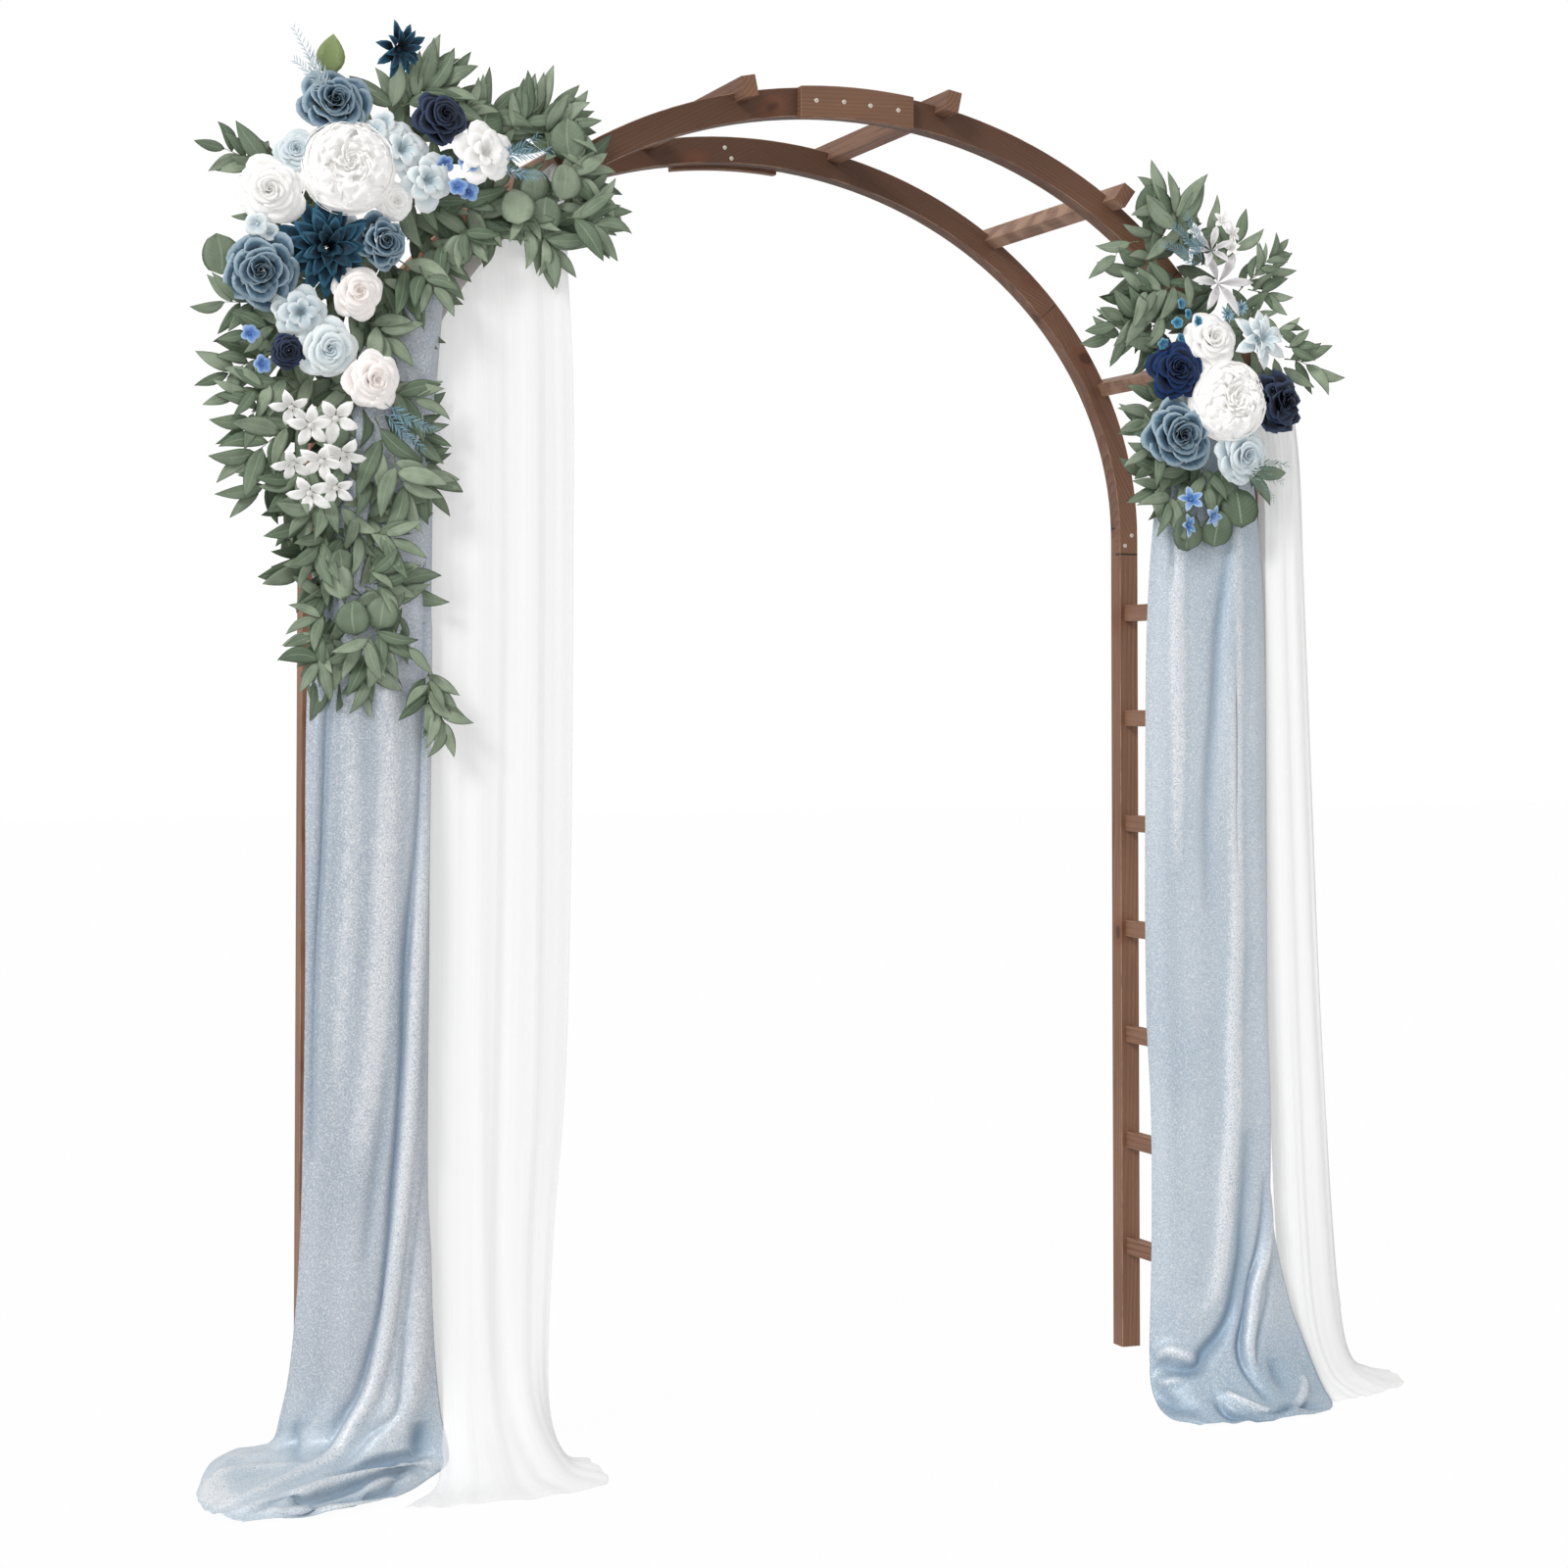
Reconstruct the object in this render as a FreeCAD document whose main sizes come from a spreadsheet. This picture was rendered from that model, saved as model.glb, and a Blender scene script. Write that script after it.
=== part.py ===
import FreeCAD, Part
import os
import math
import Sketcher
from FreeCAD import Vector, Placement, Rotation

# Driving sizes in millimetres and degrees. The frame is two pine arches, a front and a
# rear one, joined by ladder rungs between the posts and by battens across the ribs.
SIZES = [
    ("half_width", 810),            # arch centre to a post's outer face
    ("arch_height", 2252),          # floor to the ribs' outer edge at the crown
    ("spring_height", 1536),        # floor to where a rib starts to curve
    ("rib_depth", 48),              # depth of a rib at the crown
    ("post_width", 38),             # along the arch, and a rib's depth at its foot
    ("post_depth", 38),             # through the arch, the thickness of the ribs too
    ("arch_spacing", 482),          # front face of one arch to the same face of the other
    ("frame_setback", 76),          # origin to the middle of the wooden frame
    ("lap_length", 50),             # half-lap joints at the posts and the crown
    ("lap_drop", 32),               # from the spring point down to the posts' laps
    ("edge_wear", 1.2),             # the small bevel along the planed timber's edges
    ("edge_round", 2.5),
    ("rung_width", 20),
    ("rung_height", 31),
    ("rung_inset", 9),
    ("first_rung", 191),
    ("rung_step", 200),
    ("batten_width", 25),
    ("batten_depth", 35),
    ("batten_seat", 15),            # let this far into the ribs
    ("batten_overhang", 45),
    ("crown_batten_angle", 13.1),   # angles of the ellipse, from the vertical
    ("middle_batten_angle", 38.8),
    ("shoulder_batten_angle", 66.5),
    ("plate_length", 206),
    ("plate_depth", 54),
    ("plate_thickness", 18),
    ("plate_shift", 20),
    ("soft_gap", 0.3),              # between a soft piece and what it lies on
    ("satin_width", 200),           # a gathered satin drape, as it hangs
    ("satin_depth", 60),
    ("satin_drop", 26),             # its top below the middle of the shoulder batten
    ("sheer_width", 230),
    ("sheer_room", 5),              # from a sheer's top up to the leaves on the rib
    ("sheer_depth", 44),
    ("sheer_angle", 42.6),          # where the left sheer hangs on the rib
    ("sheer_drop", 23),             # its top below the rib's outer edge there
    ("fold_depth", 16),
    ("puddle_height", 46),
    ("leaf_length", 100),           # the swags are drawn in leaf lengths
    ("swag_depth", 95),             # from the rib's face to the front of the leaves
    ("swag_angle", 45),             # the middle of a swag on the rib
    ("peony_radius", 54),
    ("rose_radius", 40),
    ("bud_radius", 32),
    ("bloom_height", 48),
]
RUNG_COUNT = 7
BLOOM_SIDES = 12

doc = FreeCAD.newDocument("wedding_arch")
sheet = doc.addObject("Spreadsheet::Sheet", "sizes")
for row, (alias, number) in enumerate(SIZES, start=1):
    sheet.set("A%d" % row, alias)
    sheet.set("B%d" % row, str(number))
    sheet.setAlias("B%d" % row, alias)
doc.recompute()
nodes = []


def size(alias):
    return float(sheet.get(alias))


def value(text):
    """What a formula of the sheet's cells comes to."""
    result = sheet.evalExpression(text.replace("sizes.", ""))
    return float(getattr(result, "Value", result))


# Each arch is a half ellipse on straight posts. Derived forms, as formulas of the cells
RISE = "(sizes.arch_height - sizes.spring_height)"
INNER_WIDTH = "(sizes.half_width - sizes.post_width)"
INNER_RISE = "(sizes.arch_height - sizes.rib_depth - sizes.spring_height)"
FRONT_Y = "(sizes.frame_setback - sizes.arch_spacing / 2)"
REAR_Y = "(sizes.frame_setback + sizes.arch_spacing / 2)"
LAP_FOOT = "(sizes.spring_height - sizes.lap_drop)"
LAP_TOP = "(sizes.spring_height - sizes.lap_drop + sizes.lap_length)"


def front_face():
    return value(FRONT_Y) - size("post_depth") / 2


def body_named(label, y_formula, turned=False):
    """A body in the arch's own frame, set at y_formula and turned about Z on the left side."""
    body = doc.addObject("PartDesign::Body", label)
    body.Label = label
    body.Placement = Placement(Vector(0, 0, 0), Rotation(Vector(0, 0, 1), 180 if turned else 0))
    body.setExpression("Placement.Base.y", y_formula)
    nodes.append(body)
    return body


def sketch_at(body, name, y_formula):
    """A sketch in an upright plane that faces the front, y_formula behind the body's middle."""
    sketch = body.newObject("Sketcher::SketchObject", name)
    plane = [feature for feature in body.Origin.OriginFeatures if feature.Role == "XZ_Plane"][0]
    sketch.AttachmentSupport = [(plane, "")]
    sketch.MapMode = "FlatFace"
    sketch.setExpression("AttachmentOffset.Base.z", "-(%s)" % y_formula)
    return sketch


def dimension(sketch, name, kind, places, text):
    """A sketch dimension that follows a formula of the sheet's cells."""
    index = sketch.addConstraint(Sketcher.Constraint(kind, *places, value(text)))
    sketch.renameConstraint(index, name)
    sketch.setExpression("Constraints." + name, text)


def rectangle(sketch, x_low, x_high, z_low, z_high):
    """A rectangle whose four sides are placed by formulas."""
    low = Vector(value(x_low), value(z_low), 0)
    high = Vector(value(x_high), value(z_high), 0)
    corners = [low, Vector(high.x, low.y, 0), high, Vector(low.x, high.y, 0)]
    for index in range(4):
        sketch.addGeometry(Part.LineSegment(corners[index], corners[(index + 1) % 4]), False)
    for index in range(4):
        sketch.addConstraint(Sketcher.Constraint("Coincident", index, 2, (index + 1) % 4, 1))
    for index, kind in enumerate(["Horizontal", "Vertical", "Horizontal", "Vertical"]):
        sketch.addConstraint(Sketcher.Constraint(kind, index))
    dimension(sketch, "x_low", "DistanceX", (-1, 1, 0, 1), x_low)
    dimension(sketch, "x_high", "DistanceX", (-1, 1, 1, 1), x_high)
    dimension(sketch, "z_low", "DistanceY", (-1, 1, 0, 1), z_low)
    dimension(sketch, "z_high", "DistanceY", (-1, 1, 2, 1), z_high)


def ellipse_arc(sketch, name, across, rise, start, end):
    """An arc of the half ellipse that springs at spring_height, between two of its angles.

    start and end are in radians from the right-hand spring point, anticlockwise.
    """
    centre = Vector(0, size("spring_height"), 0)
    side = Vector(value(across), 0, 0)
    top = Vector(0, value(rise), 0)
    if side.Length >= top.Length:
        ellipse = Part.Ellipse(centre + side, centre + top, centre)
        turn, long_axis, lengths = 0, "Horizontal", (across, rise)
    else:
        ellipse = Part.Ellipse(centre + top, centre - side, centre)
        turn, long_axis, lengths = math.pi / 2, "Vertical", (rise, across)
    arc = sketch.addGeometry(Part.ArcOfEllipse(ellipse, start - turn, end - turn), False)
    sketch.exposeInternalGeometry(arc)
    major, minor = arc + 1, arc + 2
    sketch.addConstraint(Sketcher.Constraint(long_axis, major))
    sketch.addConstraint(Sketcher.Constraint("PointOnObject", arc, 3, -2))
    dimension(sketch, name + "_centre", "DistanceY", (-1, 1, arc, 3), "sizes.spring_height")
    dimension(sketch, name + "_major", "Distance", (major,), "2 * " + lengths[0])
    dimension(sketch, name + "_minor", "Distance", (minor,), "2 * " + lengths[1])
    return arc


def line_between(sketch, first, second, direction):
    """A line that joins two ends, each a (geometry, point) pair, upright or level."""
    line = sketch.addGeometry(Part.LineSegment(sketch.getPoint(*first),
                                               sketch.getPoint(*second)), False)
    sketch.addConstraint(Sketcher.Constraint("Coincident", line, 1, *first))
    sketch.addConstraint(Sketcher.Constraint("Coincident", line, 2, *second))
    sketch.addConstraint(Sketcher.Constraint(direction, line))
    return line


def pad_back(body, sketch, name, length_formula):
    pad = body.newObject("PartDesign::Pad", name)
    pad.Profile = sketch
    pad.Reversed = True
    pad.setExpression("Length", length_formula)
    sketch.Visibility = False
    return pad


def cut_back(body, sketch, name, length_formula):
    pocket = body.newObject("PartDesign::Pocket", name)
    pocket.Profile = sketch
    pocket.setExpression("Length", length_formula)
    sketch.Visibility = False
    return pocket


def wear_edges(body, pad, name, shortest):
    """A small bevel along every edge of a piece that is longer than shortest."""
    doc.recompute()
    long_edges = ["Edge%d" % (number + 1) for number, edge in enumerate(pad.Shape.Edges)
                  if edge.Length > shortest]
    bevel = body.newObject("PartDesign::Chamfer", name)
    bevel.Base = (pad, long_edges)
    bevel.setExpression("Size", "sizes.edge_wear")
    return bevel


# Posts: straight, with the outer half of the thickness carried up as a lap tongue
def make_post(label, row_y, turned):
    body = body_named(label, row_y, turned)
    profile = sketch_at(body, label + "_profile", "-sizes.post_depth / 2")
    rectangle(profile, INNER_WIDTH, "sizes.half_width", "0", LAP_TOP)
    pad = pad_back(body, profile, label + "_pad", "sizes.post_depth")
    wear_edges(body, pad, label + "_wear", 2 * size("lap_length"))
    lap = sketch_at(body, label + "_lap", "-sizes.post_depth / 2")
    rectangle(lap, INNER_WIDTH, "sizes.half_width", LAP_FOOT, LAP_TOP)
    cut_back(body, lap, label + "_lap_cut", "sizes.post_depth / 2")
    return body


def rib_profile(sketch):
    """The outline of a right-hand rib: a straight foot and the quarter of a half ellipse."""
    outer_end = math.acos(-size("lap_length") / 2 / size("half_width"))
    inner_end = math.acos(-size("lap_length") / 2 / value(INNER_WIDTH))
    outer = ellipse_arc(sketch, "outer", "sizes.half_width", RISE, 0, outer_end)
    inner = ellipse_arc(sketch, "inner", INNER_WIDTH, INNER_RISE, 0, inner_end)
    feet = []
    for arc, name in ((outer, "outer"), (inner, "inner")):
        start, end = arc_ends(sketch, arc)
        top = sketch.getPoint(arc, start)
        foot = sketch.addGeometry(Part.LineSegment(Vector(top.x, value(LAP_FOOT), 0), top), False)
        sketch.addConstraint(Sketcher.Constraint("Coincident", foot, 2, arc, start))
        sketch.addConstraint(Sketcher.Constraint("Vertical", foot))
        dimension(sketch, name + "_spring", "DistanceY", (-1, 1, arc, start), "sizes.spring_height")
        feet.append((foot, (arc, end)))
    dimension(sketch, "foot_height", "DistanceY", (-1, 1, feet[0][0], 1), LAP_FOOT)
    line_between(sketch, (feet[0][0], 1), (feet[1][0], 1), "Horizontal")
    crown_end = line_between(sketch, feet[0][1], feet[1][1], "Vertical")
    dimension(sketch, "crown_lap", "DistanceX", (-1, 1, crown_end, 1), "-sizes.lap_length / 2")


def arc_ends(sketch, arc):
    """The point numbers of an arc's right-hand and left-hand ends."""
    right_first = sketch.getPoint(arc, 1).x > sketch.getPoint(arc, 2).x
    return (1, 2) if right_first else (2, 1)


# Where a batten crosses a rib: its middle on the outer edge, and its turn from upright
def batten_place(angle):
    across = "sizes.half_width * sin(%s)" % angle
    up = "sizes.spring_height + %s * cos(%s)" % (RISE, angle)
    turn = "-atan(%s * tan(%s) / sizes.half_width)" % (RISE, angle)
    return across, up, turn


BATTEN_PLACES = {name: batten_place("sizes.%s_batten_angle" % name)
                 for name in ("crown", "middle", "shoulder")}


def batten_section(sketch, place):
    """A batten's end, drawn upright about its seat and then moved and turned to the rib."""
    across, up, turn = BATTEN_PLACES[place]
    sketch.setExpression("AttachmentOffset.Base.x", across)
    sketch.setExpression("AttachmentOffset.Base.y", up)
    sketch.setExpression("AttachmentOffset.Rotation.Angle", turn)
    rectangle(sketch, "-sizes.batten_width / 2", "sizes.batten_width / 2",
              "-sizes.batten_seat", "sizes.batten_depth - sizes.batten_seat")


# Ribs: the same piece four times, turned about Z on the left
def make_rib(label, row_y, turned):
    body = body_named(label, row_y, turned)
    profile = sketch_at(body, label + "_profile", "-sizes.post_depth / 2")
    rib_profile(profile)
    pad = pad_back(body, profile, label + "_pad", "sizes.post_depth")
    wear_edges(body, pad, label + "_wear", value(RISE))
    foot_lap = sketch_at(body, label + "_foot_lap", "0")
    rectangle(foot_lap, INNER_WIDTH, "sizes.half_width", LAP_FOOT, LAP_TOP)
    cut_back(body, foot_lap, label + "_foot_cut", "sizes.post_depth / 2")
    crown_lap = sketch_at(body, label + "_crown_lap", "-sizes.post_depth / 2")
    rectangle(crown_lap, "-sizes.lap_length / 2", "sizes.lap_length / 2",
              "sizes.arch_height - 2 * sizes.rib_depth", "sizes.arch_height")
    cut_back(body, crown_lap, label + "_crown_cut", "sizes.post_depth / 2")
    for place in BATTEN_PLACES:
        seat = sketch_at(body, "%s_%s_seat" % (label, place), "-sizes.post_depth / 2")
        batten_section(seat, place)
        cut_back(body, seat, "%s_%s_notch" % (label, place), "sizes.post_depth")
    return body


def make_batten(label, place, turned):
    body = body_named(label, "sizes.frame_setback", turned)
    half_run = "(sizes.arch_spacing / 2 + sizes.post_depth / 2 + sizes.batten_overhang)"
    section = sketch_at(body, label + "_section", "-" + half_run)
    batten_section(section, place)
    pad_back(body, section, label + "_pad", "2 * " + half_run)
    return body


def make_rung(label, index, turned):
    body = body_named(label, "sizes.frame_setback", turned)
    run = "(sizes.arch_spacing - sizes.post_depth)"
    section = sketch_at(body, label + "_section", "-%s / 2" % run)
    near = "sizes.half_width - sizes.post_width + sizes.rung_inset"
    middle = "sizes.first_rung + %d * sizes.rung_step" % index
    rectangle(section, near, near + " + sizes.rung_width",
              middle + " - sizes.rung_height / 2", middle + " + sizes.rung_height / 2")
    pad = pad_back(body, section, label + "_pad", run)
    doc.recompute()
    long_edges = ["Edge%d" % (number + 1) for number, edge in enumerate(pad.Shape.Edges)
                  if abs(edge.tangentAt(edge.FirstParameter).y) > 0.99]
    rounding = body.newObject("PartDesign::Fillet", label + "_round")
    rounding.Base = (pad, long_edges)
    rounding.setExpression("Radius", "sizes.edge_round")
    return body


# Splice plates: short curved boards over the crown joint, on the outer faces
def make_plate(label, turned):
    body = body_named(label, "sizes.frame_setback", turned)
    profile = sketch_at(body, label + "_profile", "sizes.arch_spacing / 2 + sizes.post_depth / 2")
    left = -size("plate_shift") - size("plate_length") / 2
    right = -size("plate_shift") + size("plate_length") / 2
    arcs = []
    for name, across, rise in (
            ("outer", "sizes.half_width", RISE),
            ("inner", "(sizes.half_width - sizes.plate_depth)", "(%s - sizes.plate_depth)" % RISE)):
        arcs.append(ellipse_arc(profile, name, across, rise,
                                math.acos(right / value(across)), math.acos(left / value(across))))
    ends = [arc_ends(profile, arc) for arc in arcs]
    right_end = line_between(profile, (arcs[0], ends[0][0]), (arcs[1], ends[1][0]), "Vertical")
    left_end = line_between(profile, (arcs[0], ends[0][1]), (arcs[1], ends[1][1]), "Vertical")
    dimension(profile, "right_end", "DistanceX", (-1, 1, right_end, 1),
              "sizes.plate_length / 2 - sizes.plate_shift")
    dimension(profile, "left_end", "DistanceX", (-1, 1, left_end, 1),
              "-sizes.plate_length / 2 - sizes.plate_shift")
    pad = pad_back(body, profile, label + "_pad", "sizes.plate_thickness")
    wear_edges(body, pad, label + "_wear", 0)
    return body


# Soft pieces: plain closed solids that hold the place of cloth, leaves and flowers
def soft_piece(label, shape):
    piece = doc.addObject("Part::Feature", label)
    piece.Label = label
    piece.Shape = shape
    piece.Placement = Placement(Vector(0, front_face(), 0), Rotation())
    nodes.append(piece)
    return piece


def ring(points, height):
    return Part.makePolygon([Vector(x, y, height) for x, y in points + points[:1]])


def flat_face(points):
    return Part.Face(Part.makePolygon(points + points[:1]))


def drape_section(height, low, high, depth, folds):
    """One level of a hanging cloth: flat at the back, folded at the front."""
    back = -size("soft_gap")
    fold = min(size("fold_depth"), depth / 3)
    steps = 2 * folds
    points = [(high, back), (low, back)]
    for step in range(steps + 1):
        across = low + (high - low) * step / steps
        points.append((across, -depth + (0 if step % 2 else fold)))
    return ring(points, height)


def post_room(side):
    """The space of a front post, with the soft gap round it, as high as a puddle of cloth."""
    gap = size("soft_gap")
    room = Part.makeBox(size("post_width") + 2 * gap, size("post_depth") + 2 * gap,
                        2 * size("puddle_height"),
                        Vector(value(INNER_WIDTH) - gap, -gap, -size("puddle_height")))
    if side < 0:
        room = room.mirror(Vector(0, 0, 0), Vector(1, 0, 0))
    return room


def make_drape(label, side, top, width, depth, folds, levels, puddle):
    """A gathered length of cloth that ends in a puddle on the floor.

    levels are (share of the top's height, two edges, depth) and puddle is an outline,
    in cloth widths outwards from the post's inner face and back from its front face.
    """
    post = value(INNER_WIDTH)
    sections = []
    for share, inner, outer, thick in levels:
        edges = sorted([side * (post + inner * width), side * (post + outer * width)])
        sections.append(drape_section(share * top, edges[0], edges[1], thick * depth, folds))
    column = Part.makeLoft(sections, True, True)
    outline = [(side * (post + x * width), y * width) for x, y in puddle]
    middle = (sum(x for x, y in outline) / len(outline), sum(y for x, y in outline) / len(outline))
    inset = 0.7
    shrunk = [(middle[0] + inset * (x - middle[0]), middle[1] + inset * (y - middle[1]))
              for x, y in outline]
    mound = Part.makeLoft([ring(outline, 0), ring(shrunk, size("puddle_height"))], True, True)
    whole = column.fuse(mound).removeSplitter()
    return soft_piece(label, whole.cut(post_room(side)))


def swag_middle(side):
    """The point of the rib's outer edge that a swag is drawn from."""
    angle = math.radians(size("swag_angle"))
    return (side * size("half_width") * math.sin(angle),
            size("spring_height") + value(RISE) * math.cos(angle))


def batten_room(place, side):
    """The space of a batten's front end, with the soft gap all round it."""
    across, up, turn = [value(text) for text in BATTEN_PLACES[place]]
    gap = size("soft_gap")
    width = size("batten_width") + 2 * gap
    depth = size("batten_depth") + 2 * gap
    reach = size("batten_overhang") + gap
    room = Part.makeBox(width, reach, depth,
                        Vector(-width / 2, -reach, -size("batten_seat") - gap))
    room.rotate(Vector(0, 0, 0), Vector(0, 1, 0), -side * turn)
    room.translate(Vector(side * across, 0, up))
    return room


def make_foliage(label, side, outline, cloth_top, cloth_depth):
    """The leaves of a swag as one mass: on the rib above the cloth, and on the cloth below."""
    middle_x, middle_z = swag_middle(side)
    leaf = size("leaf_length")
    gap = size("soft_gap")
    points = [Vector(middle_x + leaf * x, -gap, middle_z + leaf * z) for x, z in outline]
    mass = flat_face(points).extrude(Vector(0, -(size("swag_depth") - gap), 0))
    low = min(point.z for point in points) - gap
    left = min(point.x for point in points) - gap
    right = max(point.x for point in points) + gap
    behind = cloth_depth + gap
    mass = mass.cut(Part.makeBox(right - left, behind, cloth_top - low, Vector(left, -behind, low)))
    for place in BATTEN_PLACES:
        mass = mass.cut(batten_room(place, side))
    return soft_piece(label, mass)


def bloom(centre_x, centre_z, radius, height):
    """A flower head: a low many-sided dome of flat faces that opens forwards from the leaves."""
    back = -size("swag_depth") - size("soft_gap")
    rings = []
    for share, out in ((1, 0), (0.92, 0.6), (0.45, 1)):
        ring_points = []
        for corner in range(BLOOM_SIDES):
            angle = 2 * math.pi * corner / BLOOM_SIDES
            ring_points.append(Vector(centre_x + share * radius * math.cos(angle),
                                      back - out * height,
                                      centre_z + share * radius * math.sin(angle)))
        rings.append(ring_points)
    faces = [flat_face(rings[0]), flat_face(rings[-1])]
    for low, high in zip(rings, rings[1:]):
        for corner in range(BLOOM_SIDES):
            after = (corner + 1) % BLOOM_SIDES
            faces.append(flat_face([low[corner], low[after], high[after], high[corner]]))
    return Part.makeSolid(Part.makeShell(faces))


def make_blooms(label, side, heads):
    """Flower heads of a swag, each (x, z) in leaf lengths and the name of its radius."""
    middle_x, middle_z = swag_middle(side)
    leaf = size("leaf_length")
    solids = [bloom(middle_x + leaf * x, middle_z + leaf * z, size(radius), size("bloom_height"))
              for x, z, radius in heads]
    return soft_piece(label, solids[0] if len(solids) == 1 else Part.makeCompound(solids))


for row_name, row_y in (("front", FRONT_Y), ("rear", REAR_Y)):
    for side_name, turned in (("left", True), ("right", False)):
        make_post("%s_%s_post" % (row_name, side_name), row_y, turned)
        make_rib("%s_%s_rib" % (row_name, side_name), row_y, turned)
for side_name, turned in (("left", True), ("right", False)):
    for index in range(RUNG_COUNT):
        make_rung("%s_rung_%d" % (side_name, index + 1), index, turned)
for number, (place, turned) in enumerate(
        [("shoulder", True), ("middle", True), ("crown", True),
         ("crown", False), ("middle", False), ("shoulder", False)], start=1):
    make_batten("arch_batten_%d" % number, place, turned)
make_plate("rear_splice_plate", False)
make_plate("front_splice_plate", True)

satin_top = value(BATTEN_PLACES["shoulder"][1]) - size("satin_drop")
sheer_turn = math.radians(size("sheer_angle"))
sheer_top = size("spring_height") + value(RISE) * math.cos(sheer_turn) - size("sheer_drop")
satin_width = size("satin_width")
satin_depth = size("satin_depth")
sheer_width = size("sheer_width")
sheer_depth = size("sheer_depth")
make_drape("left_satin_drape", -1, satin_top, satin_width, satin_depth, 5,
           [(1, -0.4, -0.1, 0.55), (0.945, -0.35, 0.5, 0.87), (0.695, -0.26, 0.73, 1),
            (0.145, -0.27, 0.77, 1), (0.01, -0.18, 0.87, 1.8)],
           [(1.45, 0.2), (1.4, -0.7), (0.92, -0.99), (0.34, -0.95), (-0.2, -0.65), (-0.25, -0.015),
            (0.19, -0.015), (0.19, 0.3), (0.49, 0.95), (0.94, 1)])
make_drape("left_sheer_drape", -1, sheer_top, sheer_width, sheer_depth, 6,
           [(1, -1.14, -0.8, 0.55), (0.96, -1.2, -0.74, 0.7), (0.833, -1.26, -0.4, 0.85),
            (0.613, -1.26, -0.26, 1), (0.16, -1.13, -0.26, 1), (0.01, -1.14, -0.26, 1.7)],
           [(-0.24, -0.015), (-0.21, -0.58), (0.08, -0.85), (-0.57, -0.83), (-1.41, -0.57),
            (-1.48, 0.09), (-1.09, 0.3), (-0.52, 0.09)])
make_drape("right_satin_drape", 1, satin_top, satin_width, satin_depth, 5,
           [(1, -0.46, -0.25, 0.55), (0.91, -0.95, 0.02, 0.87), (0.7, -1.08, 0.08, 1),
            (0.167, -1.11, 0.12, 1), (0.01, -1.12, 0.3, 1.6)],
           [(-1.16, -0.04), (-1.17, -0.5), (-0.8, -0.84), (-0.15, -0.84), (0.4, -0.45),
            (0.4, -0.015)])
make_drape("right_sheer_drape", 1, satin_top, sheer_width, sheer_depth, 5,
           [(1, -0.15, 0.1, 0.55), (0.944, 0.04, 0.39, 0.7), (0.789, 0.08, 0.45, 0.9),
            (0.406, 0.11, 0.58, 1), (0.117, 0.22, 0.78, 1), (0.01, 0.42, 0.87, 1.35)],
           [(0.43, -0.015), (0.42, -0.3), (0.83, -0.27), (1.42, 0.13), (1.43, 0.42), (0.87, 0.52),
            (0.19, 0.26), (0.19, -0.015)])

make_foliage("left_swag_foliage", -1,
             [(-3.73, 1.01), (-3.05, 2.02), (-2.15, 2.2), (-1.07, 1.74), (0.38, 1.6), (1.2, 1.03),
              (1.78, 0.19), (1.7, -0.53), (0.96, -0.88), (-0.26, -0.79), (-1.06, -1.77),
              (-1.45, -2.56), (-1.13, -3.94), (-1.21, -5.02), (-1.68, -6.26), (-1.43, -7.49),
              (-1.07, -8.88), (-2.14, -8.34), (-3.53, -7.96), (-3.69, -6.44), (-4.61, -5.25),
              (-5.15, -3.61), (-5.27, -2.14), (-5.16, -1.2), (-4.71, -0.42), (-5.14, 0.46)],
             sheer_top + size("sheer_room"), satin_depth)
make_foliage("right_swag_foliage", 1,
             [(-0.05, 0.87), (1.13, 0.48), (2.57, -0.47), (2.51, -1.77), (3.41, -2.51),
              (2.65, -3.65), (2.49, -4.34), (1.77, -4.87), (1.48, -5.3), (0.43, -5.57),
              (-0.51, -5.25), (-0.79, -3.75), (-1.52, -1.77), (-1.15, -0.57), (-0.49, 0.47)],
             satin_top + size("sheer_room"), satin_depth)
make_blooms("left_peony", -1, [(-2.84, 0.14, "peony_radius")])
make_blooms("left_dahlia", -1, [(-3.27, -1.16, "peony_radius")])
make_blooms("left_roses", -1,
            [(-3.02, 1.12, "rose_radius"), (-1.33, 1.03, "bud_radius"), (-4.0, -0.26, "rose_radius"),
             (-4.13, -1.49, "rose_radius"), (-2.29, -0.95, "bud_radius"), (-2.63, -1.79, "bud_radius"),
             (-3.12, -2.68, "bud_radius"), (-2.47, -3.14, "rose_radius"), (-0.64, 0.52, "bud_radius")])
make_blooms("right_peony", 1, [(1.27, -3.0, "peony_radius")])
make_blooms("right_roses", 1,
            [(0.97, -1.95, "bud_radius"), (1.91, -1.91, "bud_radius"), (0.3, -2.49, "bud_radius"),
             (2.24, -2.98, "bud_radius"), (0.35, -3.59, "rose_radius"), (1.53, -3.89, "bud_radius")])

doc.recompute()
for item in doc.Objects:
    if "Invalid" in item.State or "Error" in item.State:
        raise RuntimeError("%s did not recompute: %s" % (item.Label, item.State))
for node in nodes:
    if node.Shape.isNull() or not node.Shape.isValid():
        raise RuntimeError("%s has no valid shape" % node.Label)

os.makedirs("parts", exist_ok=True)
for node in nodes:
    node.Shape.exportStep("parts/%s.step" % node.Label)
whole = FreeCAD.BoundBox()
for node in nodes:
    whole.add(node.Shape.BoundBox)
print("%d nodes, %s" % (len(nodes), whole))
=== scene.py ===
"""Looks of a wedding arch: stained pine frame, satin and sheer drapes and two swags of silk flowers."""

import math
import random

import bmesh
import bpy
import numpy as np
from mathutils import Matrix, Vector


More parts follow.
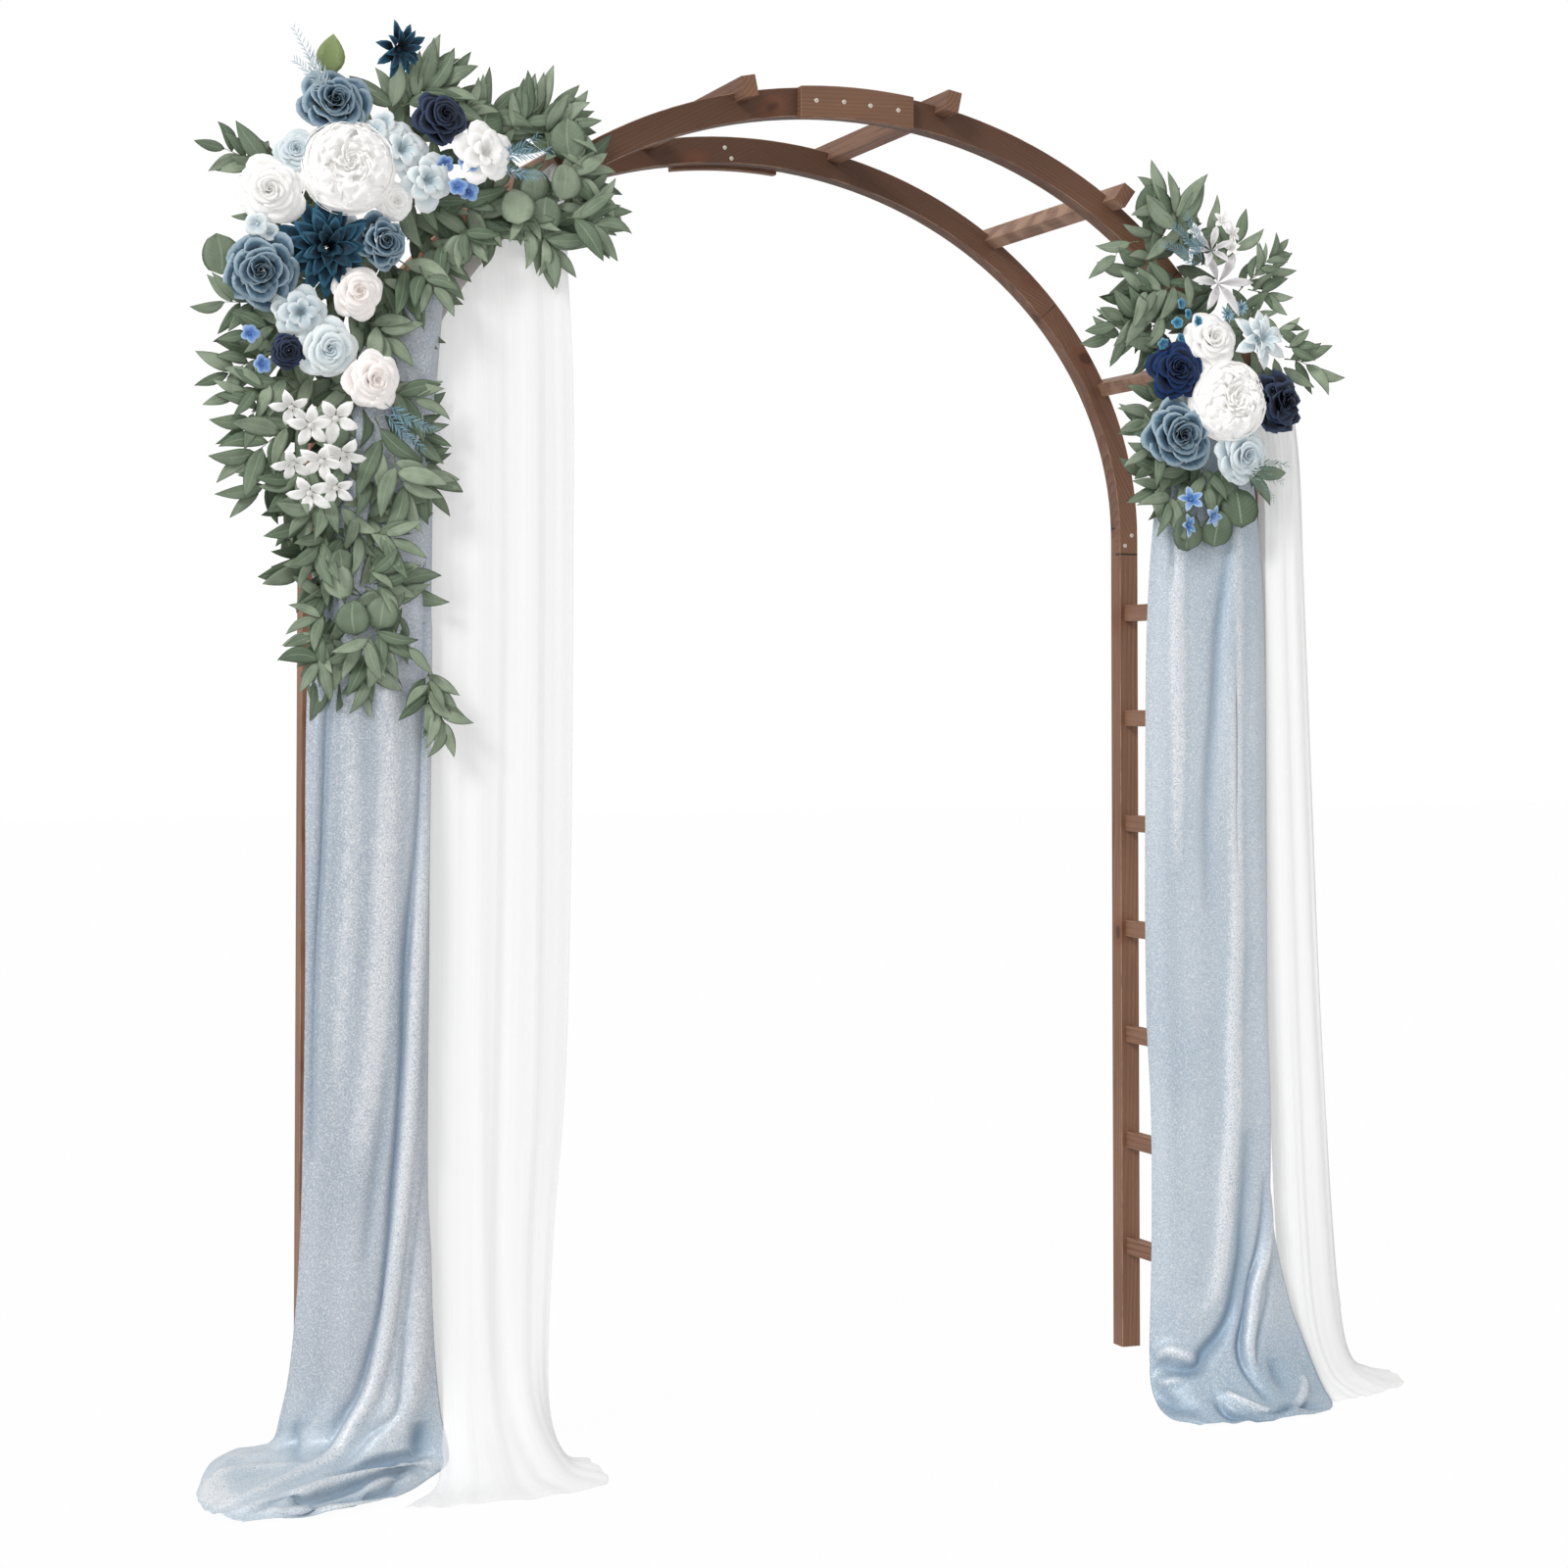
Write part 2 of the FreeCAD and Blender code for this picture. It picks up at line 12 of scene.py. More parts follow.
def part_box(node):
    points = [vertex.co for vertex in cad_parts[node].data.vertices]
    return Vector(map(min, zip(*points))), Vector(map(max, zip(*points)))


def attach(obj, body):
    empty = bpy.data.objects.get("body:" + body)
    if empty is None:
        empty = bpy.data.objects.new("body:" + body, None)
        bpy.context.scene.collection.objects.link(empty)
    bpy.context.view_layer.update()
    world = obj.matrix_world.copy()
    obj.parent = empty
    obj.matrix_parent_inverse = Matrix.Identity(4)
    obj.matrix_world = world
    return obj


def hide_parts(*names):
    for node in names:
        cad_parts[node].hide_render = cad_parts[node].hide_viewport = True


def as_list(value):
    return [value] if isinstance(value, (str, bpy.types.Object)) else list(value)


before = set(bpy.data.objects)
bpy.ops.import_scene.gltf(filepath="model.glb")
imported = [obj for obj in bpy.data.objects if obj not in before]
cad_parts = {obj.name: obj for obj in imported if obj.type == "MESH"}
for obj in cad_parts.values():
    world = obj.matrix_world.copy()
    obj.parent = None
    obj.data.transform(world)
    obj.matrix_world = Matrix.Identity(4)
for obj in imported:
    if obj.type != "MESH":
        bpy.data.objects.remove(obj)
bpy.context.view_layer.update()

MM = 0.001
CM = 0.01
FULL_TURN = 2 * math.pi

# What the frame gives: the front face, the arch's half width and the curve of its ribs
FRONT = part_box("front_right_post")[0].y
HALF_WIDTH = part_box("front_right_post")[1].x
LAP_FOOT, ARCH_TOP = (corner.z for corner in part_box("front_right_rib"))
LAP_BELOW_SPRING = 32 * MM
SPRING = LAP_FOOT + LAP_BELOW_SPRING
RISE = ARCH_TOP - SPRING

# The laps and the arches' depth, for the open lines that show where the ribs meet the posts
LAP_LENGTH = 50 * MM
MIDDLE_DEPTH = 76 * MM
POST_FROM_MIDDLE = 241 * MM

SWAG_ANGLE = math.radians(45)
SEAM_ANGLE = math.radians(52)
SCREW_RADIUS = 4.0 * MM

CAMERA_PLACE = (-2.0131, -5.0394, 1.2060)
CAMERA_TURN = (91.74, 0.0, -21.44)
CAMERA_LENS = 72.06
CAMERA_SHIFT = -0.1078

WORLD_LIGHT = 0.62
SUN_STRENGTH = 1.5
SUN_SPREAD = 16
SUN_TURN = (58, 0, -52)
FLOOR_WHITE = 0.97

# Cloth, in millimetres apart from its thickness: the floor, the posts and the plane before them
CLOTH_THICK = 0.6 * MM
FLOOR_GAP = 2.0
POST_ACROSS = 791
POST_REACH = 30
POST_BACK = 60
CLOTH_BACK = -4

SPRAY_LEAF_WIDTH = 0.33
PETAL_THICK = 0.5 * MM
POINTED_PETAL = 0.45
NEEDLE_COUNT = 26
NEEDLE_LENGTH = 2.4 * CM


# Colours and shader nodes

def srgb(text):
    """The linear colour of a hexadecimal one."""
    parts = [int(text[place:place + 2], 16) / 255 for place in (0, 2, 4)]
    linear = [part / 12.92 if part <= 0.04045 else ((part + 0.055) / 1.055) ** 2.4 for part in parts]
    return (*linear, 1.0)


def new_material(name):
    material = bpy.data.materials.new(name)
    material.use_nodes = True
    return material, material.node_tree, material.node_tree.nodes["Principled BSDF"]


def feed(tree, socket, value):
    """Links an output to a socket, or sets the socket to a plain value."""
    if isinstance(value, bpy.types.NodeSocket):
        tree.links.new(value, socket)
    else:
        socket.default_value = value


def set_inputs(tree, node, **inputs):
    """Feeds a node's inputs by name, with underscores for spaces."""
    for name, value in inputs.items():
        feed(tree, node.inputs[name.replace("_", " ")], value)
    return node


def add_node(tree, kind, settings=None, **inputs):
    made = tree.nodes.new("ShaderNode" + kind)
    for name, value in (settings or {}).items():
        setattr(made, name, value)
    return set_inputs(tree, made, **inputs)


def maths(tree, operation, *values):
    made = add_node(tree, "Math", {"operation": operation})
    for socket, value in zip(made.inputs, values):
        feed(tree, socket, value)
    return made.outputs[0]


def band(tree, value, low, high, result_low=0.0, result_high=1.0):
    """Maps a value from low..high to a soft step between two results."""
    made = add_node(tree, "MapRange", {"interpolation_type": "SMOOTHSTEP"}, Value=value, From_Min=low,
                    From_Max=high, To_Min=result_low, To_Max=result_high)
    return made.outputs["Result"]


def mix_colour(tree, factor, first, second, blend="MIX"):
    made = add_node(tree, "Mix", {"data_type": "RGBA", "blend_type": blend})
    for index, value in ((0, factor), (6, first), (7, second)):
        feed(tree, made.inputs[index], value)
    return made.outputs[2]


def tint(tree, colour, text, *step):
    """Mixes in a hexadecimal colour by a soft step, which is given as for band."""
    return mix_colour(tree, band(tree, *step), colour, srgb(text))


def ramp(tree, factor, stops):
    """A colour ramp through (place, colour) stops."""
    made = add_node(tree, "ValToRGB")
    feed(tree, made.inputs[0], factor)
    elements = made.color_ramp.elements
    while len(elements) < len(stops):
        elements.new(1.0)
    for element, (place, colour) in zip(elements, stops):
        element.position = place
        element.color = colour
    return made.outputs[0]


def mapped(tree, vector, scale=(1, 1, 1), turn=(0, 0, 0), shift=(0, 0, 0)):
    turn = [math.radians(angle) for angle in turn]
    return add_node(tree, "Mapping", Vector=vector, Scale=scale, Rotation=turn, Location=shift).outputs[0]


def noise(tree, vector, scale, detail=2.0, rough=0.5, output="Fac"):
    """Noise of one scale, or of a scale for each axis."""
    if isinstance(scale, tuple):
        vector = mapped(tree, vector, scale)
        scale = 1.0
    made = add_node(tree, "TexNoise", Vector=vector, Scale=scale, Detail=detail, Roughness=rough)
    return made.outputs[output]


def bump(tree, height, distance, strength, under=None):
    made = add_node(tree, "Bump", Height=height, Distance=distance, Strength=strength)
    if under is not None:
        feed(tree, made.inputs["Normal"], under)
    return made.outputs[0]


def object_place(tree):
    return add_node(tree, "TexCoord").outputs["Object"]


def part_of(tree, vector, axis):
    return add_node(tree, "SeparateXYZ", Vector=vector).outputs[axis]


def attribute(tree, name):
    return add_node(tree, "Attribute", {"attribute_name": name}).outputs["Fac"]


def each_island(tree):
    """A random value for each leaf or petal."""
    return add_node(tree, "NewGeometry").outputs["Random Per Island"]


# Stage, light and camera

def new_object(name, data):
    made = bpy.data.objects.new(name, data)
    bpy.context.collection.objects.link(made)
    return made


def seen_rays(tree):
    """1 for rays from the camera, mirrors and sheer cloth, which see plain white, and 0 for the rest."""
    path = add_node(tree, "LightPath").outputs
    direct = maths(tree, "MAXIMUM", path["Is Camera Ray"], path["Is Glossy Ray"])
    return maths(tree, "MAXIMUM", direct, path["Is Transmission Ray"])


def make_floor():
    bm = bmesh.new()
    bmesh.ops.create_grid(bm, x_segments=1, y_segments=1, size=30)
    floor = mesh_object(bm, "studio_floor")
    material, tree, shader = new_material("studio_floor")
    set_inputs(tree, shader, Base_Color=(0.86, 0.86, 0.86, 1), Roughness=0.9)
    white = add_node(tree, "Emission", Color=(1, 1, 1, 1), Strength=1.0)
    both = add_node(tree, "MixShader", Fac=maths(tree, "MULTIPLY", seen_rays(tree), FLOOR_WHITE))
    feed(tree, both.inputs[1], shader.outputs[0])
    feed(tree, both.inputs[2], white.outputs[0])
    set_inputs(tree, tree.nodes["Material Output"], Surface=both.outputs[0])
    floor.data.materials.append(material)


def make_world():
    world = bpy.data.worlds.new("studio")
    bpy.context.scene.world = world
    world.use_nodes = True
    tree = world.node_tree
    strength = band(tree, seen_rays(tree), 0, 1, WORLD_LIGHT, 1.0)
    set_inputs(tree, tree.nodes["Background"], Color=(1, 1, 1, 1), Strength=strength)


def make_sun():
    lamp = bpy.data.lights.new("soft_key", "SUN")
    lamp.energy = SUN_STRENGTH
    lamp.angle = math.radians(SUN_SPREAD)
    new_object("soft_key", lamp).rotation_euler = [math.radians(angle) for angle in SUN_TURN]


def make_camera():
    data = bpy.data.cameras.new("photo_camera")
    data.lens = CAMERA_LENS
    data.sensor_width = 36
    data.shift_y = CAMERA_SHIFT
    camera = new_object("photo_camera", data)
    camera.location = CAMERA_PLACE
    camera.rotation_euler = [math.radians(angle) for angle in CAMERA_TURN]
    bpy.context.scene.camera = camera


# Pieces

def mesh_object(bm, name):
    mesh = bpy.data.meshes.new(name)
    bm.to_mesh(mesh)
    bm.free()
    return new_object(name, mesh)


def finish_piece(piece, material, node=None, thick=None):
    """Gives a piece its material, smooth shading, thickness and place in the frame."""
    piece.data.materials.append(material)
    piece.data.shade_smooth()
    if thick:
        solid = piece.modifiers.new("thickness", "SOLIDIFY")
        solid.thickness = thick
        solid.offset = 0
    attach(piece, "root")
    if node:
        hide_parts(node)
    return piece


# Stained pine

def grain_space(tree, place, turn, centre, seed):
    """Coordinates whose Z runs along the grain, with the heart of the tree just outside the board."""
    rng = random.Random(seed)
    moved = mapped(tree, place, shift=[-value for value in centre])
    heart = (rng.uniform(0.03, 0.07), rng.uniform(-0.05, 0.05), rng.uniform(-9, 9))
    tilt = [angle + rng.uniform(-0.8, 0.8) for angle in turn]
    return mapped(tree, moved, turn=tilt, shift=heart)


def pine_colour(tree, grain, tone):
    """Stained pine, its growth rings along Z and its fibres, with streaks and clouds in the stain."""
    sway = noise(tree, grain, (9, 9, 1.6), output="Color")
    swayed = add_node(tree, "VectorMath", {"operation": "MULTIPLY_ADD"})
    for socket, value in zip(swayed.inputs, (sway, (0.022, 0.022, 0), grain)):
        feed(tree, socket, value)
    rings = add_node(tree, "TexWave", {"wave_type": "RINGS", "rings_direction": "Z", "wave_profile": "SAW"},
                     Vector=swayed.outputs[0], Scale=48.0, Distortion=0.0).outputs["Fac"]
    fibres = noise(tree, grain, (420, 420, 9), 4.0, 0.65)
    streaks = noise(tree, grain, (46, 46, 1.3), 3.0, 0.55)
    clouds = noise(tree, grain, (7, 7, 3))
    colour = ramp(tree, rings, [
        (0.0, srgb("8a6751")), (0.55, srgb("825e49")), (0.86, srgb("734f3d")), (1.0, srgb("684736"))])
    colour = tint(tree, colour, "7f5b47", streaks, 0.35, 0.68, 0.0, 0.75)
    colour = tint(tree, colour, "5c4033", streaks, 0.56, 0.76, 0.0, 0.5)
    colour = tint(tree, colour, "4c3429", fibres, 0.5, 0.78, 0.0, 0.45)
    colour = tint(tree, colour, "966e56", clouds, 0.4, 0.7, 0.0, 0.35)
    return mix_colour(tree, 1.0, colour, (tone, tone, tone, 1), "MULTIPLY"), rings, fibres


def knots(tree, grain, colour):
    """Round knots with a dark core and a reddish-brown halo, a few on each board."""
    bent = mapped(tree, grain, scale=(8.5, 8.5, 5.6))
    cells = add_node(tree, "TexVoronoi", {"feature": "F1"}, Vector=bent, Scale=1.0)
    wobble = maths(tree, "MULTIPLY", noise(tree, grain, (90, 90, 60)), 0.03)
    distance = maths(tree, "ADD", cells.outputs["Distance"], wobble)
    colour = tint(tree, colour, "73442d", distance, 0.11, 0.26, 0.6, 0.0)
    return tint(tree, colour, "4a2c20", distance, 0.075, 0.125, 0.9, 0.0)


def worn_edges(tree, colour, along):
    """A lighter line where the stain has worn off the chamfered edges."""
    normal = add_node(tree, "NewGeometry").outputs["Normal"]
    single = maths(tree, "ABSOLUTE", part_of(tree, normal, along))
    other = maths(tree, "SQRT", maths(tree, "SUBTRACT", 1.0, maths(tree, "MULTIPLY", single, single)))
    slant = band(tree, maths(tree, "MINIMUM", single, other), 0.25, 0.5)
    patches = band(tree, noise(tree, object_place(tree), 22.0, 3.0), 0.4, 0.62, 0.2, 0.85)
    return mix_colour(tree, maths(tree, "MULTIPLY", slant, patches), colour, srgb("a98670"))


def lap_line(tree, place, colour):
    """The open line of a half-lap: low on the half towards the other arch, high on the outer half."""
    depth = maths(tree, "SUBTRACT", part_of(tree, place, "Y"), MIDDLE_DEPTH)
    outer = maths(tree, "GREATER_THAN", maths(tree, "ABSOLUTE", depth), POST_FROM_MIDDLE)
    joint = maths(tree, "MULTIPLY_ADD", outer, LAP_LENGTH, SPRING - LAP_BELOW_SPRING)
    away = maths(tree, "ABSOLUTE", maths(tree, "SUBTRACT", part_of(tree, place, "Z"), joint))
    return tint(tree, colour, "1d120c", away, 1.2 * MM, 2.4 * MM, 0.9, 0.0)


def rib_planks(tree, place, centre, seed, tone, colour, seam):
    """The rib's second plank past its glued seam, and darker colour towards the crown."""
    normal, at_plane, turn = seam
    other = grain_space(tree, place, turn, centre, seed + 500)
    second = pine_colour(tree, other, tone * 0.94)[0]
    side = add_node(tree, "VectorMath", {"operation": "DOT_PRODUCT"})
    feed(tree, side.inputs[0], mapped(tree, place, shift=[-value for value in at_plane]))
    feed(tree, side.inputs[1], normal)
    offset = side.outputs["Value"]
    colour = mix_colour(tree, maths(tree, "GREATER_THAN", offset, 0.0), colour, second)
    colour = tint(tree, colour, "34221a", maths(tree, "ABSOLUTE", offset), 0.3 * MM, 1.6 * MM, 0.85, 0.0)
    # Darker towards the top of the arch
    return tint(tree, colour, "4b3022", part_of(tree, place, "Z"), 1.95, 2.2, 0.0, 0.8)


def pine(name, seed, turn, tone=1.0, chamfer_axis="Y", seam=None):
    """Stained pine for one node. A seam is (plane normal, plane place, second grain turn)."""
    material, tree, shader = new_material(name + "_pine")
    low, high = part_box(name)
    centre = (low + high) / 2
    place = object_place(tree)
    grain = grain_space(tree, place, turn, centre, seed)
    colour, rings, fibres = pine_colour(tree, grain, tone)
    if seam:
        colour = rib_planks(tree, place, centre, seed, tone, colour, seam)
    colour = knots(tree, grain, colour)
    if name.endswith(("post", "rib")):
        colour = lap_line(tree, place, colour)
    lines = bump(tree, fibres, 0.25 * MM, 0.5)
    set_inputs(tree, shader, Base_Color=worn_edges(tree, colour, chamfer_axis),
               Roughness=band(tree, fibres, 0.3, 0.7, 0.52, 0.7), Specular_IOR_Level=0.35,
               Normal=bump(tree, rings, 0.2 * MM, 0.4, lines))
    return material


def rib_seam(side):
    """The glued seam of a rib, square to its curve, with the grain turn of its lower plank."""
    across = side * HALF_WIDTH
    point = (across * math.sin(SEAM_ANGLE), 0, SPRING + RISE * math.cos(SEAM_ANGLE))
    tangent = Vector((across * math.cos(SEAM_ANGLE), 0, -RISE * math.sin(SEAM_ANGLE))).normalized()
    return tuple(tangent), point, (0, side * -152, 0)


def dress_wood():
    hands = (("left", -1), ("right", 1))
    boards = [(f"{arch}_{hand}_post", (0, 0, 0)) for arch in ("front", "rear") for hand, _ in hands]
    boards += [(f"{arch}_{hand}_rib", (0, side * 62, 0), tone, "Y", rib_seam(side))
               for arch, tone in (("front", 0.98), ("rear", 0.94)) for hand, side in hands]
    boards += [(f"{arch}_splice_plate", (0, -87, 0), 0.86) for arch in ("front", "rear")]
    boards += [(f"arch_batten_{number}", (90, 0, 0), 0.88, "Z") for number in range(1, 7)]
    boards += [(f"{hand}_rung_{number}", (90, 0, 0), 1.02, "Z")
               for hand, _ in hands for number in range(1, 8)]
    for seed, (name, *board) in enumerate(boards, 1):
        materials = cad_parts[name].data.materials
        materials.clear()
        materials.append(pine(name, seed, *board))


# Screws at the splice plates and the laps

def screw_head(bm, place, outward, across):
    """A countersunk head with a cross recess, standing a little proud of the wood."""
    facing = Vector(outward)
    matrix = Matrix.Translation(place) @ facing.to_track_quat("Z", "Y").to_matrix().to_4x4()
    made = bmesh.ops.create_circle(bm, cap_ends=True, segments=20, radius=SCREW_RADIUS, matrix=matrix)
    face = made["verts"][0].link_faces[0]
    grown = bmesh.ops.extrude_face_region(bm, geom=[face])["geom"]
    lifted = [item for item in grown if isinstance(item, bmesh.types.BMVert)]
    bmesh.ops.translate(bm, verts=lifted, vec=facing * 0.5 * MM)
    top = [item for item in grown if isinstance(item, bmesh.types.BMFace)]
    bmesh.ops.inset_region(bm, faces=top, thickness=0.7 * MM, depth=0.35 * MM)
    for turn in (across, across + 90):
        blade = matrix @ Matrix.Rotation(math.radians(turn), 4, "Z") @ Matrix.Translation((0, 0, 0.95 * MM))
        blade = blade @ Matrix.Diagonal((SCREW_RADIUS * 1.1, 0.7 * MM, 0.25 * MM, 1))
        bmesh.ops.create_cube(bm, size=1.0, matrix=blade)


def screw_material():
    material, tree, shader = new_material("zinc_screws")
    tarnish = noise(tree, object_place(tree), 900.0, 3.0)
    set_inputs(tree, shader, Base_Color=mix_colour(tree, tarnish, srgb("b5aa9d"), srgb("e2dace")),
               Metallic=0.4, Roughness=band(tree, tarnish, 0.3, 0.7, 0.3, 0.5))
    return material


def make_screws():
    material = screw_material()
    front_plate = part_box("front_splice_plate")[0].y
    rear_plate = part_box("rear_splice_plate")[1].y
    front_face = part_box("front_right_post")[1].y
    rear_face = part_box("rear_right_post")[0].y
    groups = (
        ("front_plate", front_plate, -1, ((-55, 2225), (-5, 2226), (43, 2223), (94, 2219))),
        ("rear_plate", rear_plate, 1, ((-90, 2216), (-42, 2222), (8, 2225), (60, 2224))),
        ("rear_crown", rear_face, -1, ((-33, 2231), (-20, 2212))),
        ("rear_right_lap", rear_face, -1, ((783, 1520), (797, 1540))),
        ("rear_left_lap", rear_face, -1, ((-783, 1520), (-797, 1540))),
        ("front_crown", front_face, 1, ((-20, 2231), (-7, 2212))),
    )
    for name, face, outward, places in groups:
        bm = bmesh.new()
        for number, (across, height) in enumerate(places):
            screw_head(bm, Vector((across * MM, face, height * MM)), (0, outward, 0), 20 + 37 * number)
        finish_piece(mesh_object(bm, name + "_screws"), material)


# Drapes

def through(points, where):
    """Points on a smooth line through the given ones, for places from 0 to 1 along it."""
    points = np.asarray(points, float)
    last = len(points) - 1
    padded = np.concatenate([2 * points[:1] - points[1:2], points, 2 * points[-1:] - points[-2:-1]])
    place = np.clip(np.asarray(where, float), 0, 1) * last
    start = np.minimum(place.astype(int), last - 1)
    part = (place - start).reshape((-1,) + (1,) * (points.ndim - 1))
    a, b, c, d = (padded[start + step] for step in range(4))
    square = (2 * a - 5 * b + 4 * c - d) * part ** 2
    cube = (3 * b - a - 3 * c + d) * part ** 3
    return (2 * b + (c - a) * part + square + cube) / 2


class Drape:
    """A cloth laid through rails that run from its top to its hem. Its sizes are in millimetres."""

    def __init__(self, rails, columns, rows):
        self.across = np.linspace(0, 1, columns + 1)
        self.down = np.linspace(0, 1, rows + 1)
        rows_through = through(np.array(rails, float).transpose(1, 0, 2), self.down)
        self.points = through(rows_through.transpose(1, 0, 2), self.across)
        self.columns, self.rows = columns, rows
        self.base = self.points.copy()
        # Painted light for the satin's colour: a highlight painted along the ridges and shade painted into
        # the creases
        self.painted_shine = np.zeros((columns + 1, rows + 1))
        self.crease = np.zeros((columns + 1, rows + 1))

    def lift(self, heights):
        """Moves each point outwards, towards the viewer and up, by its height."""
        flow = np.gradient(self.points, axis=1)
        side = np.gradient(self.points, axis=0)
        normal = np.cross(side, -flow)
        normal = normal / np.maximum(np.linalg.norm(normal, axis=2, keepdims=True), 1e-9)
        if np.median(normal[..., 1]) >= 0:
            normal = -normal
        self.points += normal * heights.reshape(self.painted_shine.shape)[..., None]

    def line(self, places, count=70):
        """Where a line of (across, down) places in hundredths runs on the plain cloth."""
        places = through(np.array(places, float) / 100, np.linspace(0, 1, count))
        along = np.clip(places, 0, 1) * (self.columns, self.rows)
        corner = np.minimum(along.astype(int), (self.columns - 1, self.rows - 1))
        column, row = corner.T
        right, low = (along - corner).T[..., None]
        first = self.base[column, row] * (1 - low) + self.base[column, row + 1] * low
        second = self.base[column + 1, row] * (1 - low) + self.base[column + 1, row + 1] * low
        return first * (1 - right) + second * right

    def fold(self, height, width, painted_shine, places):
        """Raises a soft ridge, or sinks a crease, along a line; paints a highlight along it, as strong as
        given, and paints shade into a crease.
        """
        line = self.line(places)
        flat = self.base.reshape(-1, 3)
        nearest = np.full(len(flat), 1e9)
        index = np.zeros(len(flat))
        for number, (start, end) in enumerate(zip(line, line[1:])):
            run = end - start
            part = np.clip((flat - start) @ run / max(run @ run, 1e-9), 0, 1)
            distance = np.linalg.norm(flat - start - part[:, None] * run, axis=1)
            closer = distance < nearest
            nearest[closer] = distance[closer]
            index[closer] = number + part[closer]
        fade = np.clip(np.sin(np.pi * (index + 2) / (len(line) + 3)), 0, 1) ** 0.5
        reach = (np.exp(-(nearest / width) ** 2) * fade).reshape(self.painted_shine.shape)
        self.lift(height * reach)
        self.painted_shine = np.maximum(self.painted_shine, painted_shine * reach)
        # A sinking crease gets painted shade, deeper where it sinks deeper
        self.crease = np.maximum(self.crease, -height / 15 * reach)

    def pleats(self, depth, counts, seed, start, hem=1.0):
        """Uneven lengthwise pleats, as gathered cloth has. At the hem they are hem times as deep."""
        rng = np.random.default_rng(seed)
        u, v = np.meshgrid(self.across, self.down, indexing="ij")
        wave = np.zeros_like(u)
        for count in counts:
            phase = rng.uniform(0, FULL_TURN)
            drift = rng.uniform(-0.9, 0.9)
            warp = rng.uniform(-0.05, 0.05)
            bent = u + warp * np.sin(FULL_TURN * u + phase)
            strength = 0.6 + 0.4 * np.sin(FULL_TURN * (v * rng.uniform(0.6, 1.6)) + phase)
            wave += strength * np.sin(FULL_TURN * count * bent + phase + drift * v * 3) / len(counts)
        reach = np.clip(v / start, 0, 1) * (1 - (1 - hem) * np.clip((v - 0.75) / 0.25, 0, 1))
        self.lift(depth * wave * reach)

    def crumple(self, height, scale, seed, start):
        """Soft irregular dents, stronger towards the hem."""
        rng = np.random.default_rng(seed)
        flat = self.base.reshape(-1, 3) / scale
        dent = np.zeros(len(flat))
        for _ in range(14):
            direction = rng.normal(size=3)
            direction[2] *= 0.35
            dent += np.sin(flat @ direction * 2 + rng.uniform(0, FULL_TURN))
        v = np.tile(self.down, len(self.across))
        self.lift(height * dent / 5 * np.clip((v - start) / (1 - start), 0, 1))

    def settle(self):
        """Keeps the cloth above the floor and in front of the wood."""
        x, y, z = (self.points[..., axis] for axis in range(3))
        self.points[..., 2] = np.maximum(z, FLOOR_GAP)
        near_post = (abs(abs(x) - POST_ACROSS) < POST_REACH) & (y > CLOTH_BACK) & (y < POST_BACK)
        self.points[..., 1] = np.where(near_post | ((z > 150) & (y > CLOTH_BACK)), CLOTH_BACK, y)

    def mesh(self, name):
        bm = flower_mesh(layered=False)
        bmesh.ops.create_grid(bm, x_segments=self.columns, y_segments=self.rows, size=1.0, calc_uvs=True)
        piece = mesh_object(bm, name)
        place = np.empty(len(piece.data.vertices) * 3)
        piece.data.vertices.foreach_get("co", place)
        place = place.reshape(-1, 3)
        column = ((place[:, 0] + 1) / 2 * self.columns).round().astype(int)
        row = ((place[:, 1] + 1) / 2 * self.rows).round().astype(int)
        moved = self.points[column, row] * MM
        moved[:, 1] += FRONT
        piece.data.vertices.foreach_set("co", moved.ravel())
        # The painted highlight and the painted crease shade go onto the mesh as attributes
        for layer, values in (("painted_highlight", self.painted_shine), ("crease", np.clip(self.crease, 0, 1))):
            made = piece.data.attributes.new(layer, "FLOAT", "POINT")
            made.data.foreach_set("value", values[column, row].ravel())
        piece.data.update()
        return piece


LEFT_SATIN = (
    ((-790, -16, 1872), (-885, -24, 1640), (-916, -28, 1250), (-917, -28, 800), (-921, -30, 500),
     (-926, -26, 330), (-935, -12, 190), (-944, 18, 105), (-948, 50, 64), (-966, 84, 48), (-998, 98, 42),
     (-1050, 30, 38), (-1088, -60, 20)),
    ((-765, -46, 1872), (-850, -48, 1640), (-870, -50, 1250), (-868, -50, 800), (-868, -52, 500),
     (-872, -54, 330), (-885, -48, 190), (-902, -30, 118), (-920, -6, 80), (-945, 14, 58), (-990, 16, 50),
     (-1046, -40, 42), (-1092, -96, 16)),
    ((-740, -56, 1872), (-800, -58, 1640), (-800, -58, 1250), (-790, -60, 800), (-782, -62, 500),
     (-795, -66, 330), (-818, -64, 190), (-840, -60, 125), (-862, -54, 88), (-895, -52, 64),
     (-945, -72, 50), (-1020, -120, 38), (-1090, -140, 14)),
    ((-712, -56, 1872), (-745, -58, 1640), (-745, -56, 1250), (-742, -58, 800), (-740, -60, 500),
     (-750, -64, 330), (-762, -72, 190), (-778, -80, 120), (-800, -84, 78), (-835, -92, 50),
     (-892, -122, 38), (-970, -168, 28), (-1072, -172, 10)),
    ((-700, -34, 1872), (-716, -38, 1640), (-720, -38, 1250), (-721, -38, 800), (-723, -40, 500),
     (-719, -44, 330), (-713, -52, 190), (-706, -60, 110), (-697, -70, 40), (-740, -92, 12),
     (-806, -156, 8), (-900, -198, 5), (-1045, -196, 4)),
)

